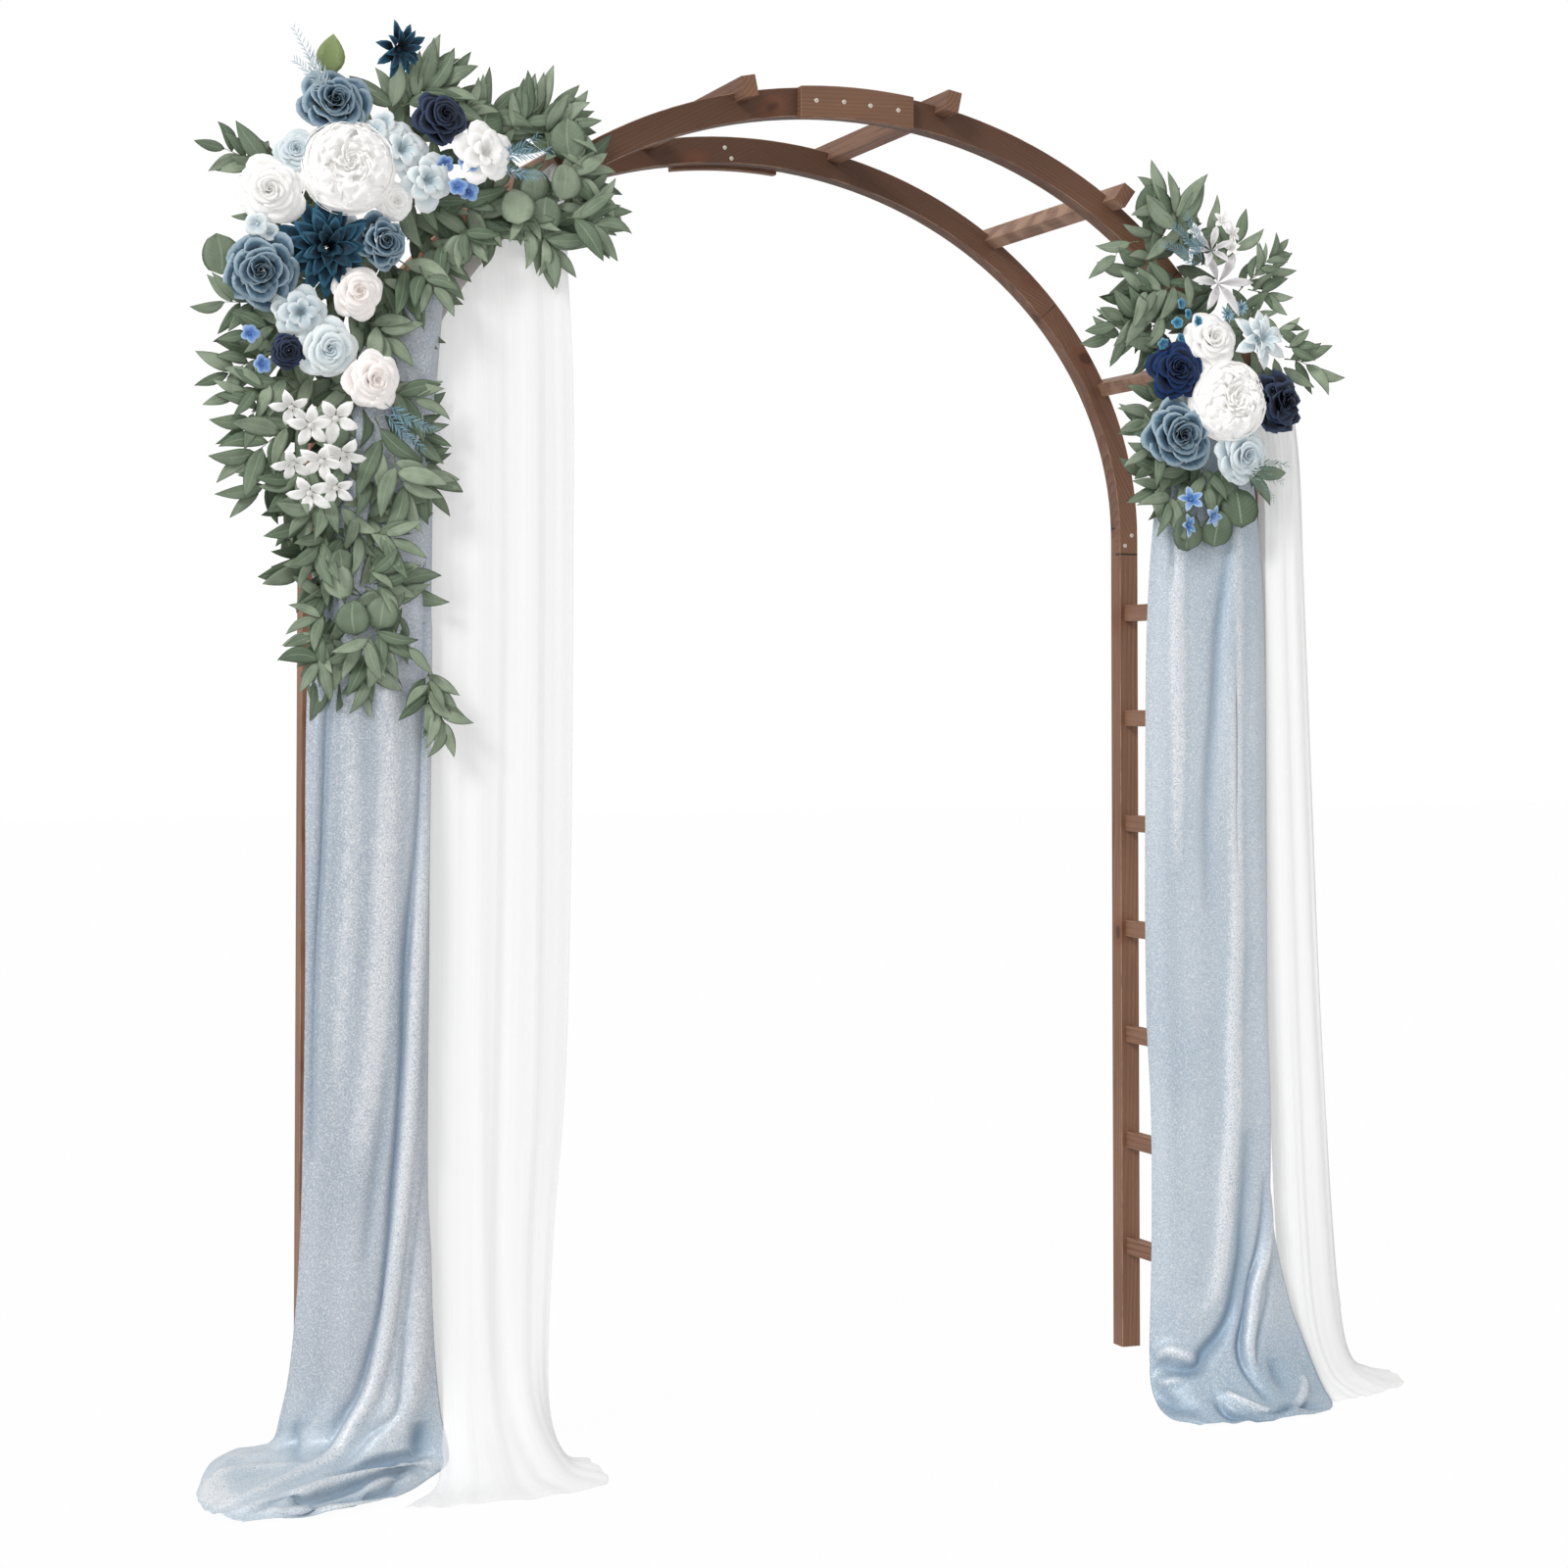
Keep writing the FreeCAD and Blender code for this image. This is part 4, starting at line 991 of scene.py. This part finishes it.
def stem_material():
    material, tree, shader = new_material("green_stems")
    spots = noise(tree, object_place(tree), 120.0, 3.0)
    set_inputs(tree, shader, Base_Color=mix_colour(tree, spots, srgb("4f5a3c"), srgb("7d8462")),
               Roughness=band(tree, spots, 0.3, 0.7, 0.5, 0.7), Normal=bump(tree, spots, 0.2 * MM, 0.5))
    return material


def left_flow(across, up):
    """Which way leaves point in the left swag, in degrees from the right."""
    if up < -20:
        return 262 + (across + 30) * 3.2
    if across < -30:
        return 180
    return math.degrees(math.atan2((up - 1) * 1.4, across + 26))


def right_flow(across, up):
    return 95 if up > -8 else 180 + (across - 2) * 7


def make_leaves(side, swag, sprays, rounds, strips, flow, seed, leaf, stem):
    rng = random.Random(seed)
    leaves = flower_mesh()
    stems = flower_mesh()
    fill_leaves(leaves, side, strips, flow, rng)
    for spray in sprays:
        add_spray(leaves, stems, side, spray, rng.uniform(45, 85), rng)
    for across, up, radius in rounds:
        root = swag_place(side, across + rng.uniform(-1, 1), up - radius, rng.uniform(66, 84))
        tip = swag_place(side, across, up + radius, rng.uniform(74, 92))
        facing = Vector((rng.uniform(-0.3, 0.3), -1, rng.uniform(-0.3, 0.2)))
        add_leaf(leaves, root, tip, facing, 0.98, rng, round_leaf=True)
    finish_piece(mesh_object(leaves, swag + "_leaves"), leaf, swag + "_foliage", PETAL_THICK)
    finish_piece(mesh_object(stems, swag + "_stems"), stem)


# Flowers

def mark_layer(bm, vertices, depth):
    """Notes how far out in its flower a petal sits, from 0 to 1, for the painted shade on inner petals."""
    layer = bm.verts.layers.float["layer"]
    for vertex in vertices:
        vertex[layer] = depth


def on_axis(place, angle, radius, height):
    """A point at an angle, radius and height in a flower's own directions."""
    centre, right, up, out = place
    return centre + right * (radius * math.cos(angle)) + up * (radius * math.sin(angle)) + out * height


def add_petal(bm, place, turn, petal, rng, columns, rows, depth):
    """One petal of a bowl-shaped flower, about the flower's own axis."""
    base, rim, lift, spread, lip, ruffle, point, spiral = petal
    phases = [rng.uniform(0, 6.3) for _ in range(3)]
    pointed = point > POINTED_PETAL

    def shape(u, v):
        q = v * (1 - point * abs(u) ** (1.3 if pointed else 2.2))
        widen = 0.35 + 0.65 * math.sin(min(1.0, q * 1.25) * math.pi / 2)
        if pointed:
            widen *= 1 - 0.3 * q
        curl = max(0.0, (q - 0.6) / 0.4)
        radius = base + (rim - base) * q ** 1.2 + lip * curl ** 2 + spiral * u
        height = lift * math.sin(min(1.0, q * 1.08) * math.pi / 2) - lip * 0.9 * curl ** 2
        radius += ruffle * math.sin(3.1 * u + phases[0]) * q ** 2
        height += ruffle * math.sin(4.3 * u + phases[1]) * q ** 3
        height += ruffle * 0.5 * math.sin(8 * u + phases[2]) * q ** 4
        return on_axis(place, turn + u * spread * widen, radius, height)

    mark_layer(bm, grid_patch(bm, columns, rows, shape), depth)


def add_ball_petal(bm, place, turn, petal, rng, depth):
    """One petal that wraps a ball from behind and ends with a soft wavy rim."""
    size, end, spread, ruffle = petal
    phases = [rng.uniform(0, 6.3) for _ in range(3)]

    def shape(u, v):
        reach = math.radians(35 + (end - 35) * v * (1 - 0.16 * abs(u) ** 2.5))
        wave = ruffle * (math.sin(3.3 * u + phases[0]) + 0.6 * math.sin(7 * u + phases[1])) * v ** 3
        ball = size * (1 + 0.05 * v ** 6 - 0.03 * abs(u) + wave)
        angle = turn + u * spread * (0.6 + 0.4 * v) + 0.1 * math.sin(phases[2]) * v
        height = ball * (0.32 - 0.72 * math.cos(reach) + 0.5 * wave)
        return on_axis(place, angle, ball * math.sin(reach), height)

    mark_layer(bm, grid_patch(bm, 9, 9, shape), depth)


def flower_place(side, across, up, out, lean):
    """The centre of a flower and its own three directions. The lean tips it right and up."""
    facing = Vector((lean[0], -1, lean[1])).normalized()
    right = facing.cross(Vector((0, 0, 1))).normalized()
    return swag_place(side, across, up, out), right, right.cross(facing), facing


# A rose from its heart outwards: rim, lift, lip and foot as parts of its radius, and how many petals
ROSE_RINGS = (
    (0.1, 0.64, 0.0, 0.02, 2), (0.2, 0.66, 0.02, 0.05, 3), (0.32, 0.64, 0.04, 0.09, 3),
    (0.46, 0.58, 0.07, 0.15, 3), (0.61, 0.47, 0.09, 0.22, 4), (0.77, 0.33, 0.1, 0.28, 5),
    (0.92, 0.17, 0.09, 0.32, 5),
)


def add_rose(bm, place, radius, rng, wild):
    """A rose: a tight spiral heart, then wider petals with rolled rims. A wild one is more ruffled."""
    turn = rng.uniform(0, 6.3)
    for number, (rim, lift, lip, foot, count) in enumerate(ROSE_RINGS):
        part = number / (len(ROSE_RINGS) - 1)
        for _ in range(count):
            turn += FULL_TURN / count + rng.uniform(-0.2, 0.2)
            petal = (radius * foot, radius * rim * rng.uniform(0.93, 1.06),
                     radius * lift * rng.uniform(0.88, 1.1),
                     (4.1 + 0.4 * (count < 4)) / count * rng.uniform(0.92, 1.1),
                     radius * lip * rng.uniform(0.7, 1.3), radius * (0.018 + 0.05 * part) * wild,
                     rng.uniform(0.14, 0.34), radius * 0.05)
            add_petal(bm, place, turn, petal, rng, 9, 7, 0.1 + 0.9 * part)
        turn += 0.7


# A peony from the outside in: size, where its petals end in degrees from the back, how many, ruffle
PEONY_RINGS = (
    (1.0, 94, 5, 0.014), (0.985, 107, 6, 0.016), (0.97, 118, 7, 0.02), (0.955, 128, 8, 0.028),
    (0.945, 137, 8, 0.034), (0.935, 146, 9, 0.042), (0.93, 154, 9, 0.05),
)

# Its heart: rim and lift as parts of the radius, and how many petals
PEONY_HEART = (
    (0.1, 0.99, 3), (0.2, 1.02, 4), (0.3, 1.0, 6), (0.42, 0.97, 7), (0.53, 0.92, 7),
)


def add_peony(bm, place, radius, rng):
    """A full peony: a ball of petals that wrap one another, ruffled in the middle, round a core."""
    turn = rng.uniform(0, 6.3)
    for number, (size, end, count, ruffle) in enumerate(PEONY_RINGS):
        for _ in range(count):
            turn += FULL_TURN / count + rng.uniform(-0.2, 0.2)
            petal = (radius * size * rng.uniform(0.985, 1.02), end + rng.uniform(-5, 4), 4.2 / count, ruffle)
            add_ball_petal(bm, place, turn, petal, rng, 1 - 0.05 * number)
        turn += 0.5
    centre, right, up, out = place
    turned = Matrix((right, up, out)).transposed().to_4x4()
    core = Matrix.Translation(centre + out * radius * 0.34) @ turned @ Matrix.Diagonal((0.82, 0.82, 0.5, 1))
    add_ball(bm, radius, core, 3, 1.0)
    for rim, lift, count in PEONY_HEART:
        for _ in range(count):
            turn += FULL_TURN / count + rng.uniform(-0.3, 0.3)
            petal = (radius * 0.3 * rim, radius * rim * rng.uniform(0.85, 1.12),
                     radius * lift * rng.uniform(0.95, 1.03), 3.9 / count,
                     radius * rng.uniform(-0.05, 0.05), radius * 0.045, 0.12, radius * 0.05)
            add_petal(bm, place, turn, petal, rng, 9, 7, 0.75)


# A dahlia from its heart outwards: rim and lift as parts of its radius, and how many petals
DAHLIA_RINGS = ((0.26, 0.52, 5), (0.44, 0.5, 7), (0.62, 0.42, 9), (0.82, 0.28, 11), (1.0, 0.1, 12))


def add_dahlia(bm, place, radius, rng):
    """A dahlia: rings of broad pointed petals, flatter towards the outside."""
    for ring, (rim, lift, count) in enumerate(DAHLIA_RINGS):
        start = rng.uniform(0, 6.3)
        for step in range(count):
            turn = start + FULL_TURN * step / count + rng.uniform(-0.12, 0.12)
            petal = (radius * 0.04, radius * rim * rng.uniform(0.88, 1.06),
                     radius * lift * rng.uniform(0.8, 1.2), 5.6 / count, radius * 0.05, radius * 0.05, 0.5,
                     radius * 0.02)
            add_petal(bm, place, turn, petal, rng, 6, 7, 0.15 + 0.85 * ring / 4)


def add_open_flower(bm, place, radius, rng, petals, point, lift, rings, spread):
    """A small open flower: one or more rings of petals."""
    turn = rng.uniform(0, 6.3)
    for ring in range(rings):
        size = 1 - 0.26 * ring
        for _ in range(petals):
            turn += FULL_TURN / petals + rng.uniform(-0.1, 0.1)
            petal = (radius * 0.03, radius * size * rng.uniform(0.9, 1.05), radius * (lift + 0.2 * ring),
                     spread / petals, radius * 0.1, radius * 0.035, point, radius * 0.02)
            add_petal(bm, place, turn, petal, rng, 6, 6, 1 - 0.2 * ring)
        turn += math.pi / petals


def add_ball(bm, radius, matrix, subdivisions, depth):
    made = bmesh.ops.create_icosphere(bm, subdivisions=subdivisions, radius=radius, matrix=matrix,
                                      calc_uvs=True)
    mark_layer(bm, made["verts"], depth)


def add_needles(bm, side, base, tip, depth, rng):
    """A fern-like sprig: fine spikes in two rows along a curved twig."""
    start = swag_place(side, *base, depth)
    end = swag_place(side, *tip, depth + 14)
    run = end - start
    across = Vector((run.z, 0, -run.x)).normalized()
    along = run.normalized()
    add_stem(bm, (start, (start + end) / 2 + across * run.length * 0.06, end), 1.6 * MM)
    for number in range(NEEDLE_COUNT):
        part = 0.12 + 0.88 * number / (NEEDLE_COUNT - 1)
        hand = 1 if number % 2 else -1
        root = start + run * part + across * run.length * 0.06 * 4 * part * (1 - part)
        outward = Vector((0, rng.uniform(-0.35, 0.1), 0))
        direction = (along * 0.75 + across * hand * 0.65 + outward).normalized()
        size = NEEDLE_LENGTH * (1 - 0.55 * part) * rng.uniform(0.8, 1.1)
        add_leaf(bm, root, root + direction * size, Vector((0.1, -1, 0.1)), 0.14, rng, rows=3)


def petal_material(name, heart, middle, rim, painted_glow):
    """Matte foam or silk petals with fine veins, darker in the heart and at each petal's foot as painted
    shade.

    Pale petals get a painted glow, a faint emission in their rim colour that lightens them where they shade
    one another.
    """
    material, tree, shader = new_material(name)
    uv_map = add_node(tree, "UVMap").outputs[0]
    veins = noise(tree, uv_map, (22, 2.2, 1), 3.0, 0.6)
    clouds = noise(tree, object_place(tree), 60.0, 3.0)
    stops = (0.45, 0.84, 1.0) if painted_glow else (0.6, 0.86, 0.98)
    tones = [srgb(tone) for tone in (heart, middle, rim)]
    # Painted shade: darker at each petal's foot and on petals further inside the flower
    colour = ramp(tree, part_of(tree, uv_map, "Y"), list(zip(stops, tones)))
    colour = tint(tree, colour, heart, attribute(tree, "layer"), 0.0, 0.75, 0.75, 0.0)
    colour = tint(tree, colour, heart, veins, 0.5, 0.75, 0.0, 0.45)
    colour = tint(tree, colour, rim, clouds, 0.5, 0.72, 0.0, 0.35)
    colour = mix_colour(tree, maths(tree, "MULTIPLY", each_island(tree), 0.2), colour, srgb(middle))
    relief = bump(tree, veins, 0.6 * MM, 0.4)
    # The emission is a painted glow, not a lamp
    set_inputs(tree, shader, Base_Color=colour, Roughness=band(tree, clouds, 0.3, 0.7, 0.52, 0.68),
               Specular_IOR_Level=0.25, Sheen_Weight=0.02, Emission_Color=srgb(rim), Emission_Strength=painted_glow,
               Normal=bump(tree, clouds, 0.8 * MM, 0.3, relief))
    return material


# Petal colours: heart, middle, rim, and the strength of a painted glow that lightens pale petals
TONES = {
    "white": ("cbcac6", "eeedeb", "f9f8f7", 0.17),
    "lily": ("aaa7a8", "dedbdc", "f3f0f1", 0.05),
    "cream": ("cfc2ba", "f1eae6", "faf7f6", 0.18),
    "greyblue": ("0b1721", "48667c", "b2c7d3", 0.0),
    "navy": ("03060c", "0a1322", "3e4c6c", 0.0),
    "royal": ("020713", "051632", "1b3c74", 0.0),
    "teal": ("06151f", "123a50", "386c86", 0.0),
    "paleblue": ("90a7b4", "c6d5da", "eef3f5", 0.08),
    "iceblue": ("a5bac4", "d8e3e6", "f8fafa", 0.08),
    "violet": ("4f77bb", "86aadd", "b9d1f1", 0.0),
    "azure": ("2c688c", "5295b8", "94c4d8", 0.0),
    "bell": ("4f7dbd", "94b6e2", "d0e0f4", 0.0),
    "sprig": ("7398aa", "9bbecb", "c3dbe2", 0.0),
    "fern": ("6d857a", "8ca396", "b5c6bb", 0.0),
    "moss": ("8a9a66", "a3b380", "bac79b", 0.0),
}

# Each kind of open flower: petals, how pointed, lift, rings and spread
OPEN_KINDS = {
    "pointed": (6, 0.5, 0.25, 3, 4.4),
    "lily": (6, 0.62, 0.35, 1, 3.0),
    "open": (5, 0.28, 0.22, 3, 3.8),
}
HEAD_NODES = {"peony": "_peony", "dahlia": "_dahlia", "lily": "_swag_foliage"}

# Kind, name, tone, (across, up) in centimetres from the middle, radius in centimetres, lean
LEFT_HEADS = (
    ("rose", "greyblue_rose", "greyblue", (-32.2, 9.6), 5.4, (-0.1, 0.25)),
    ("rose", "navy_rose", "navy", (-15.5, 8.8), 4.3, (0.15, 0.2)),
    ("peony", "white_peony", "white", (-30.4, 0.0), 6.8, (-0.05, 0.1)),
    ("rose", "small_pale_rose", "paleblue", (-37.9, 2.1), 3.4, (-0.3, 0.2)),
    ("rose", "white_rose", "white", (-41.9, -4.0), 5.2, (-0.25, 0.0)),
    ("open", "pale_flower", "iceblue", (-22.0, 3.4), 4.2, (0.1, 0.1)),
    ("open", "ice_flower", "iceblue", (-18.0, -0.8), 4.2, (0.2, -0.1)),
    ("rose", "small_white_rose", "white", (-22.7, -4.4), 3.0, (0.1, -0.1)),
    ("dahlia", "teal_dahlia", "teal", (-33.4, -12.3), 7.2, (-0.05, -0.05)),
    ("rose", "lower_greyblue_rose", "greyblue", (-43.2, -16.2), 5.5, (-0.25, -0.15)),
    ("rose", "side_greyblue_rose", "greyblue", (-25.0, -10.8), 4.0, (0.25, -0.05)),
    ("rose", "cream_rose", "cream", (-28.8, -18.8), 4.1, (0.1, -0.1)),
    ("open", "pale_hydrangea", "paleblue", (-37.5, -22.4), 4.0, (-0.1, -0.15)),
    ("rose", "small_navy_rose", "navy", (-39.3, -28.5), 2.7, (-0.1, -0.1)),
    ("rose", "pale_rose", "iceblue", (-33.2, -27.9), 4.6, (0.0, -0.15)),
    ("rose", "lower_cream_rose", "cream", (-26.2, -32.4), 4.4, (0.15, -0.15)),
    ("open", "gardenia", "white", (-8.7, 3.8), 4.6, (0.2, 0.1)),
)

RIGHT_HEADS = (
    ("peony", "white_peony", "white", (9.4, -30.6), 6.5, (0.0, 0.05)),
    ("rose", "white_rose", "white", (6.6, -20.2), 4.8, (-0.05, 0.2)),
    ("pointed", "ice_flower", "iceblue", (16.0, -19.8), 5.0, (0.15, 0.2)),
    ("rose", "royal_rose", "royal", (0.0, -25.5), 4.8, (-0.2, 0.1)),
    ("ruffled", "navy_ranunculus", "navy", (19.3, -30.4), 5.6, (0.3, 0.0)),
    ("rose", "greyblue_rose", "greyblue", (0.6, -36.4), 5.8, (-0.15, -0.1)),
    ("rose", "pale_rose", "paleblue", (12.3, -39.4), 4.9, (0.1, -0.2)),
    ("lily", "lily", "lily", (8.8, -9.9), 5.4, (0.0, 0.1)),
    ("lily", "upper_lily", "lily", (7.2, -4.4), 4.0, (-0.4, 0.5)),
)


def finish_flower(bm, name, tone, tones, node=None, thick=None):
    finish_piece(mesh_object(bm, name), tones[tone], node, thick)


def make_heads(side, hand, heads, tones, seed):
    for number, (kind, name, tone, (across, up), radius, lean) in enumerate(heads):
        rng = random.Random(seed + number)
        depth = 98 if radius > 5 and kind != "dahlia" else 104
        if kind == "peony":
            depth = 92
        place = flower_place(side, across, up, depth, lean)
        bm = flower_mesh()
        size = radius * 1.08 * CM
        if kind in OPEN_KINDS:
            add_open_flower(bm, place, size, rng, *OPEN_KINDS[kind])
        elif kind == "peony":
            add_peony(bm, place, size, rng)
        elif kind == "dahlia":
            add_dahlia(bm, place, size, rng)
        else:
            wild = 2.4 if kind == "ruffled" else 1.5 if tone == "greyblue" else 1.0
            add_rose(bm, place, size, rng, wild)
        node = hand + HEAD_NODES.get(kind, "_roses")
        finish_flower(bm, f"{hand}_{name}", tone, tones, node, PETAL_THICK)


# Name, tone, petals, how pointed, radius in centimetres, places
LEFT_SMALL = (
    ("left_star_flowers", "white", 5, 0.5, 3.3, ((-35.9, -39.6), (-31.8, -38.4), (-38.6, -45.4),
     (-34.1, -45.0), (-30.7, -43.7), (-35.9, -49.9), (-31.7, -49.0), (-38.7, -36.7))),
    ("left_violet_flowers", "violet", 5, 0.3, 1.4, ((-14.7, 1.9), (-10.9, 2.0), (-12.9, -1.8),
     (-10.9, -2.2), (-45.5, -26.3), (-43.4, -30.7))),
    ("left_hydrangea_bits", "iceblue", 4, 0.25, 1.7, ((-24.4, 7.7), (-26.1, 6.2), (-22.9, 6.5),
     (-44.3, -9.3), (-42.6, -10.4), (-29.5, -8.4), (-40.3, -22.0))),
    ("left_teal_star", "teal", 8, 0.5, 4.2, ((-22.7, 19.5),)),
)

RIGHT_SMALL = (
    ("right_blue_bells", "bell", 5, 0.5, 2.0, ((1.8, -52.0), (7.0, -50.2), (3.2, -47.6))),
    ("right_tiny_blue_flowers", "azure", 5, 0.3, 1.0, ((2.4, -15.5), (0.0, -17.3), (0.9, -19.9),
     (-2.5, -20.9), (3.9, -17.0), (1.2, -13.8))),
    ("right_white_bits", "white", 5, 0.5, 1.6, ((11.3, -1.0), (8.4, 0.4), (10.6, -4.0), (4.0, -1.2))),
    ("right_blue_succulents", "sprig", 9, 0.5, 1.6, ((10.3, -15.3), (12.8, -14.0))),
)


def make_small_flowers(side, groups, tones, seed):
    rng = random.Random(seed)
    for name, tone, petals, point, radius, places in groups:
        bm = flower_mesh()
        droop = -0.8 if name == "left_star_flowers" else 0.0
        for across, up in places:
            lean = (rng.uniform(-0.5, 0.5), rng.uniform(-0.4, 0.4) + droop)
            place = flower_place(side, across, up, rng.uniform(100, 118), lean)
            size = radius * CM * rng.uniform(0.9, 1.15)
            add_open_flower(bm, place, size, rng, petals, point, 0.4, 2 if petals > 5 else 1, 4.2)
            add_ball(bm, size * 0.14, Matrix.Translation(place[0] + place[3] * size * 0.2), 2, 0.4)
        finish_flower(bm, name, tone, tones, thick=0.4 * MM)


# Name, side, tone and twigs, each from its base to its tip in centimetres
SPRIGS = (
    ("left_blue_sprigs", -1, "sprig", (
        ((-7, 4), (2, 5)), ((-6, 2), (1, 1)), ((-7, 3), (0, 7)), ((-24, -36), (-16, -40)),
        ((-24, -37), (-18, -43)))),
    ("left_pale_twigs", -1, "iceblue", (
        ((-34, 10), (-39, 21)), ((-33, 11), (-36.5, 17)), ((-33, 11), (-39, 16)))),
    ("right_blue_sprigs", 1, "sprig", (((5, -6), (-1, -1)), ((5, -6), (1, 1)), ((5, -7), (-3, -4)))),
    ("right_white_fern", 1, "fern", (((13, -40), (20, -44)), ((13, -41), (18, -47)), ((14, -40), (21, -41)))),
)


def make_sprigs(tones):
    rng = random.Random(77)
    for name, side, tone, twigs in SPRIGS:
        bm = flower_mesh()
        for base, tip in twigs:
            add_needles(bm, side, base, tip, rng.uniform(98, 112), rng)
        finish_flower(bm, name, tone, tones)
    moss = flower_mesh()
    root, tip, *stalk = (swag_place(-1, *place) for place in (
        (-32.9, 14.8, 84), (-32.0, 21.4, 90), (-31.0, 10, 80), (-32.4, 13, 84), (-32.5, 16, 84)))
    add_leaf(moss, root, tip, Vector((0.1, -1, 0.1)), 0.7, rng)
    add_stem(moss, stalk, 1.8 * MM)
    finish_flower(moss, "left_moss_leaf", "moss", tones, thick=0.5 * MM)


def make_swags():
    tones = {name: petal_material(name + "_petals", *tone) for name, tone in TONES.items()}
    leaf = leaf_material()
    stem = stem_material()
    make_leaves(-1, "left_swag", LEFT_SPRAYS, LEFT_ROUND_LEAVES, LEFT_FILL, left_flow, 11, leaf, stem)
    make_leaves(1, "right_swag", RIGHT_SPRAYS, RIGHT_ROUND_LEAVES, RIGHT_FILL, right_flow, 23, leaf, stem)
    make_heads(-1, "left", LEFT_HEADS, tones, 100)
    make_heads(1, "right", RIGHT_HEADS, tones, 200)
    make_small_flowers(-1, LEFT_SMALL, tones, 301)
    make_small_flowers(1, RIGHT_SMALL, tones, 302)
    make_sprigs(tones)


bpy.context.scene.view_settings.view_transform = "Standard"
make_camera()
make_world()
make_sun()
make_floor()
dress_wood()
make_screws()
make_drapes()
make_swags()
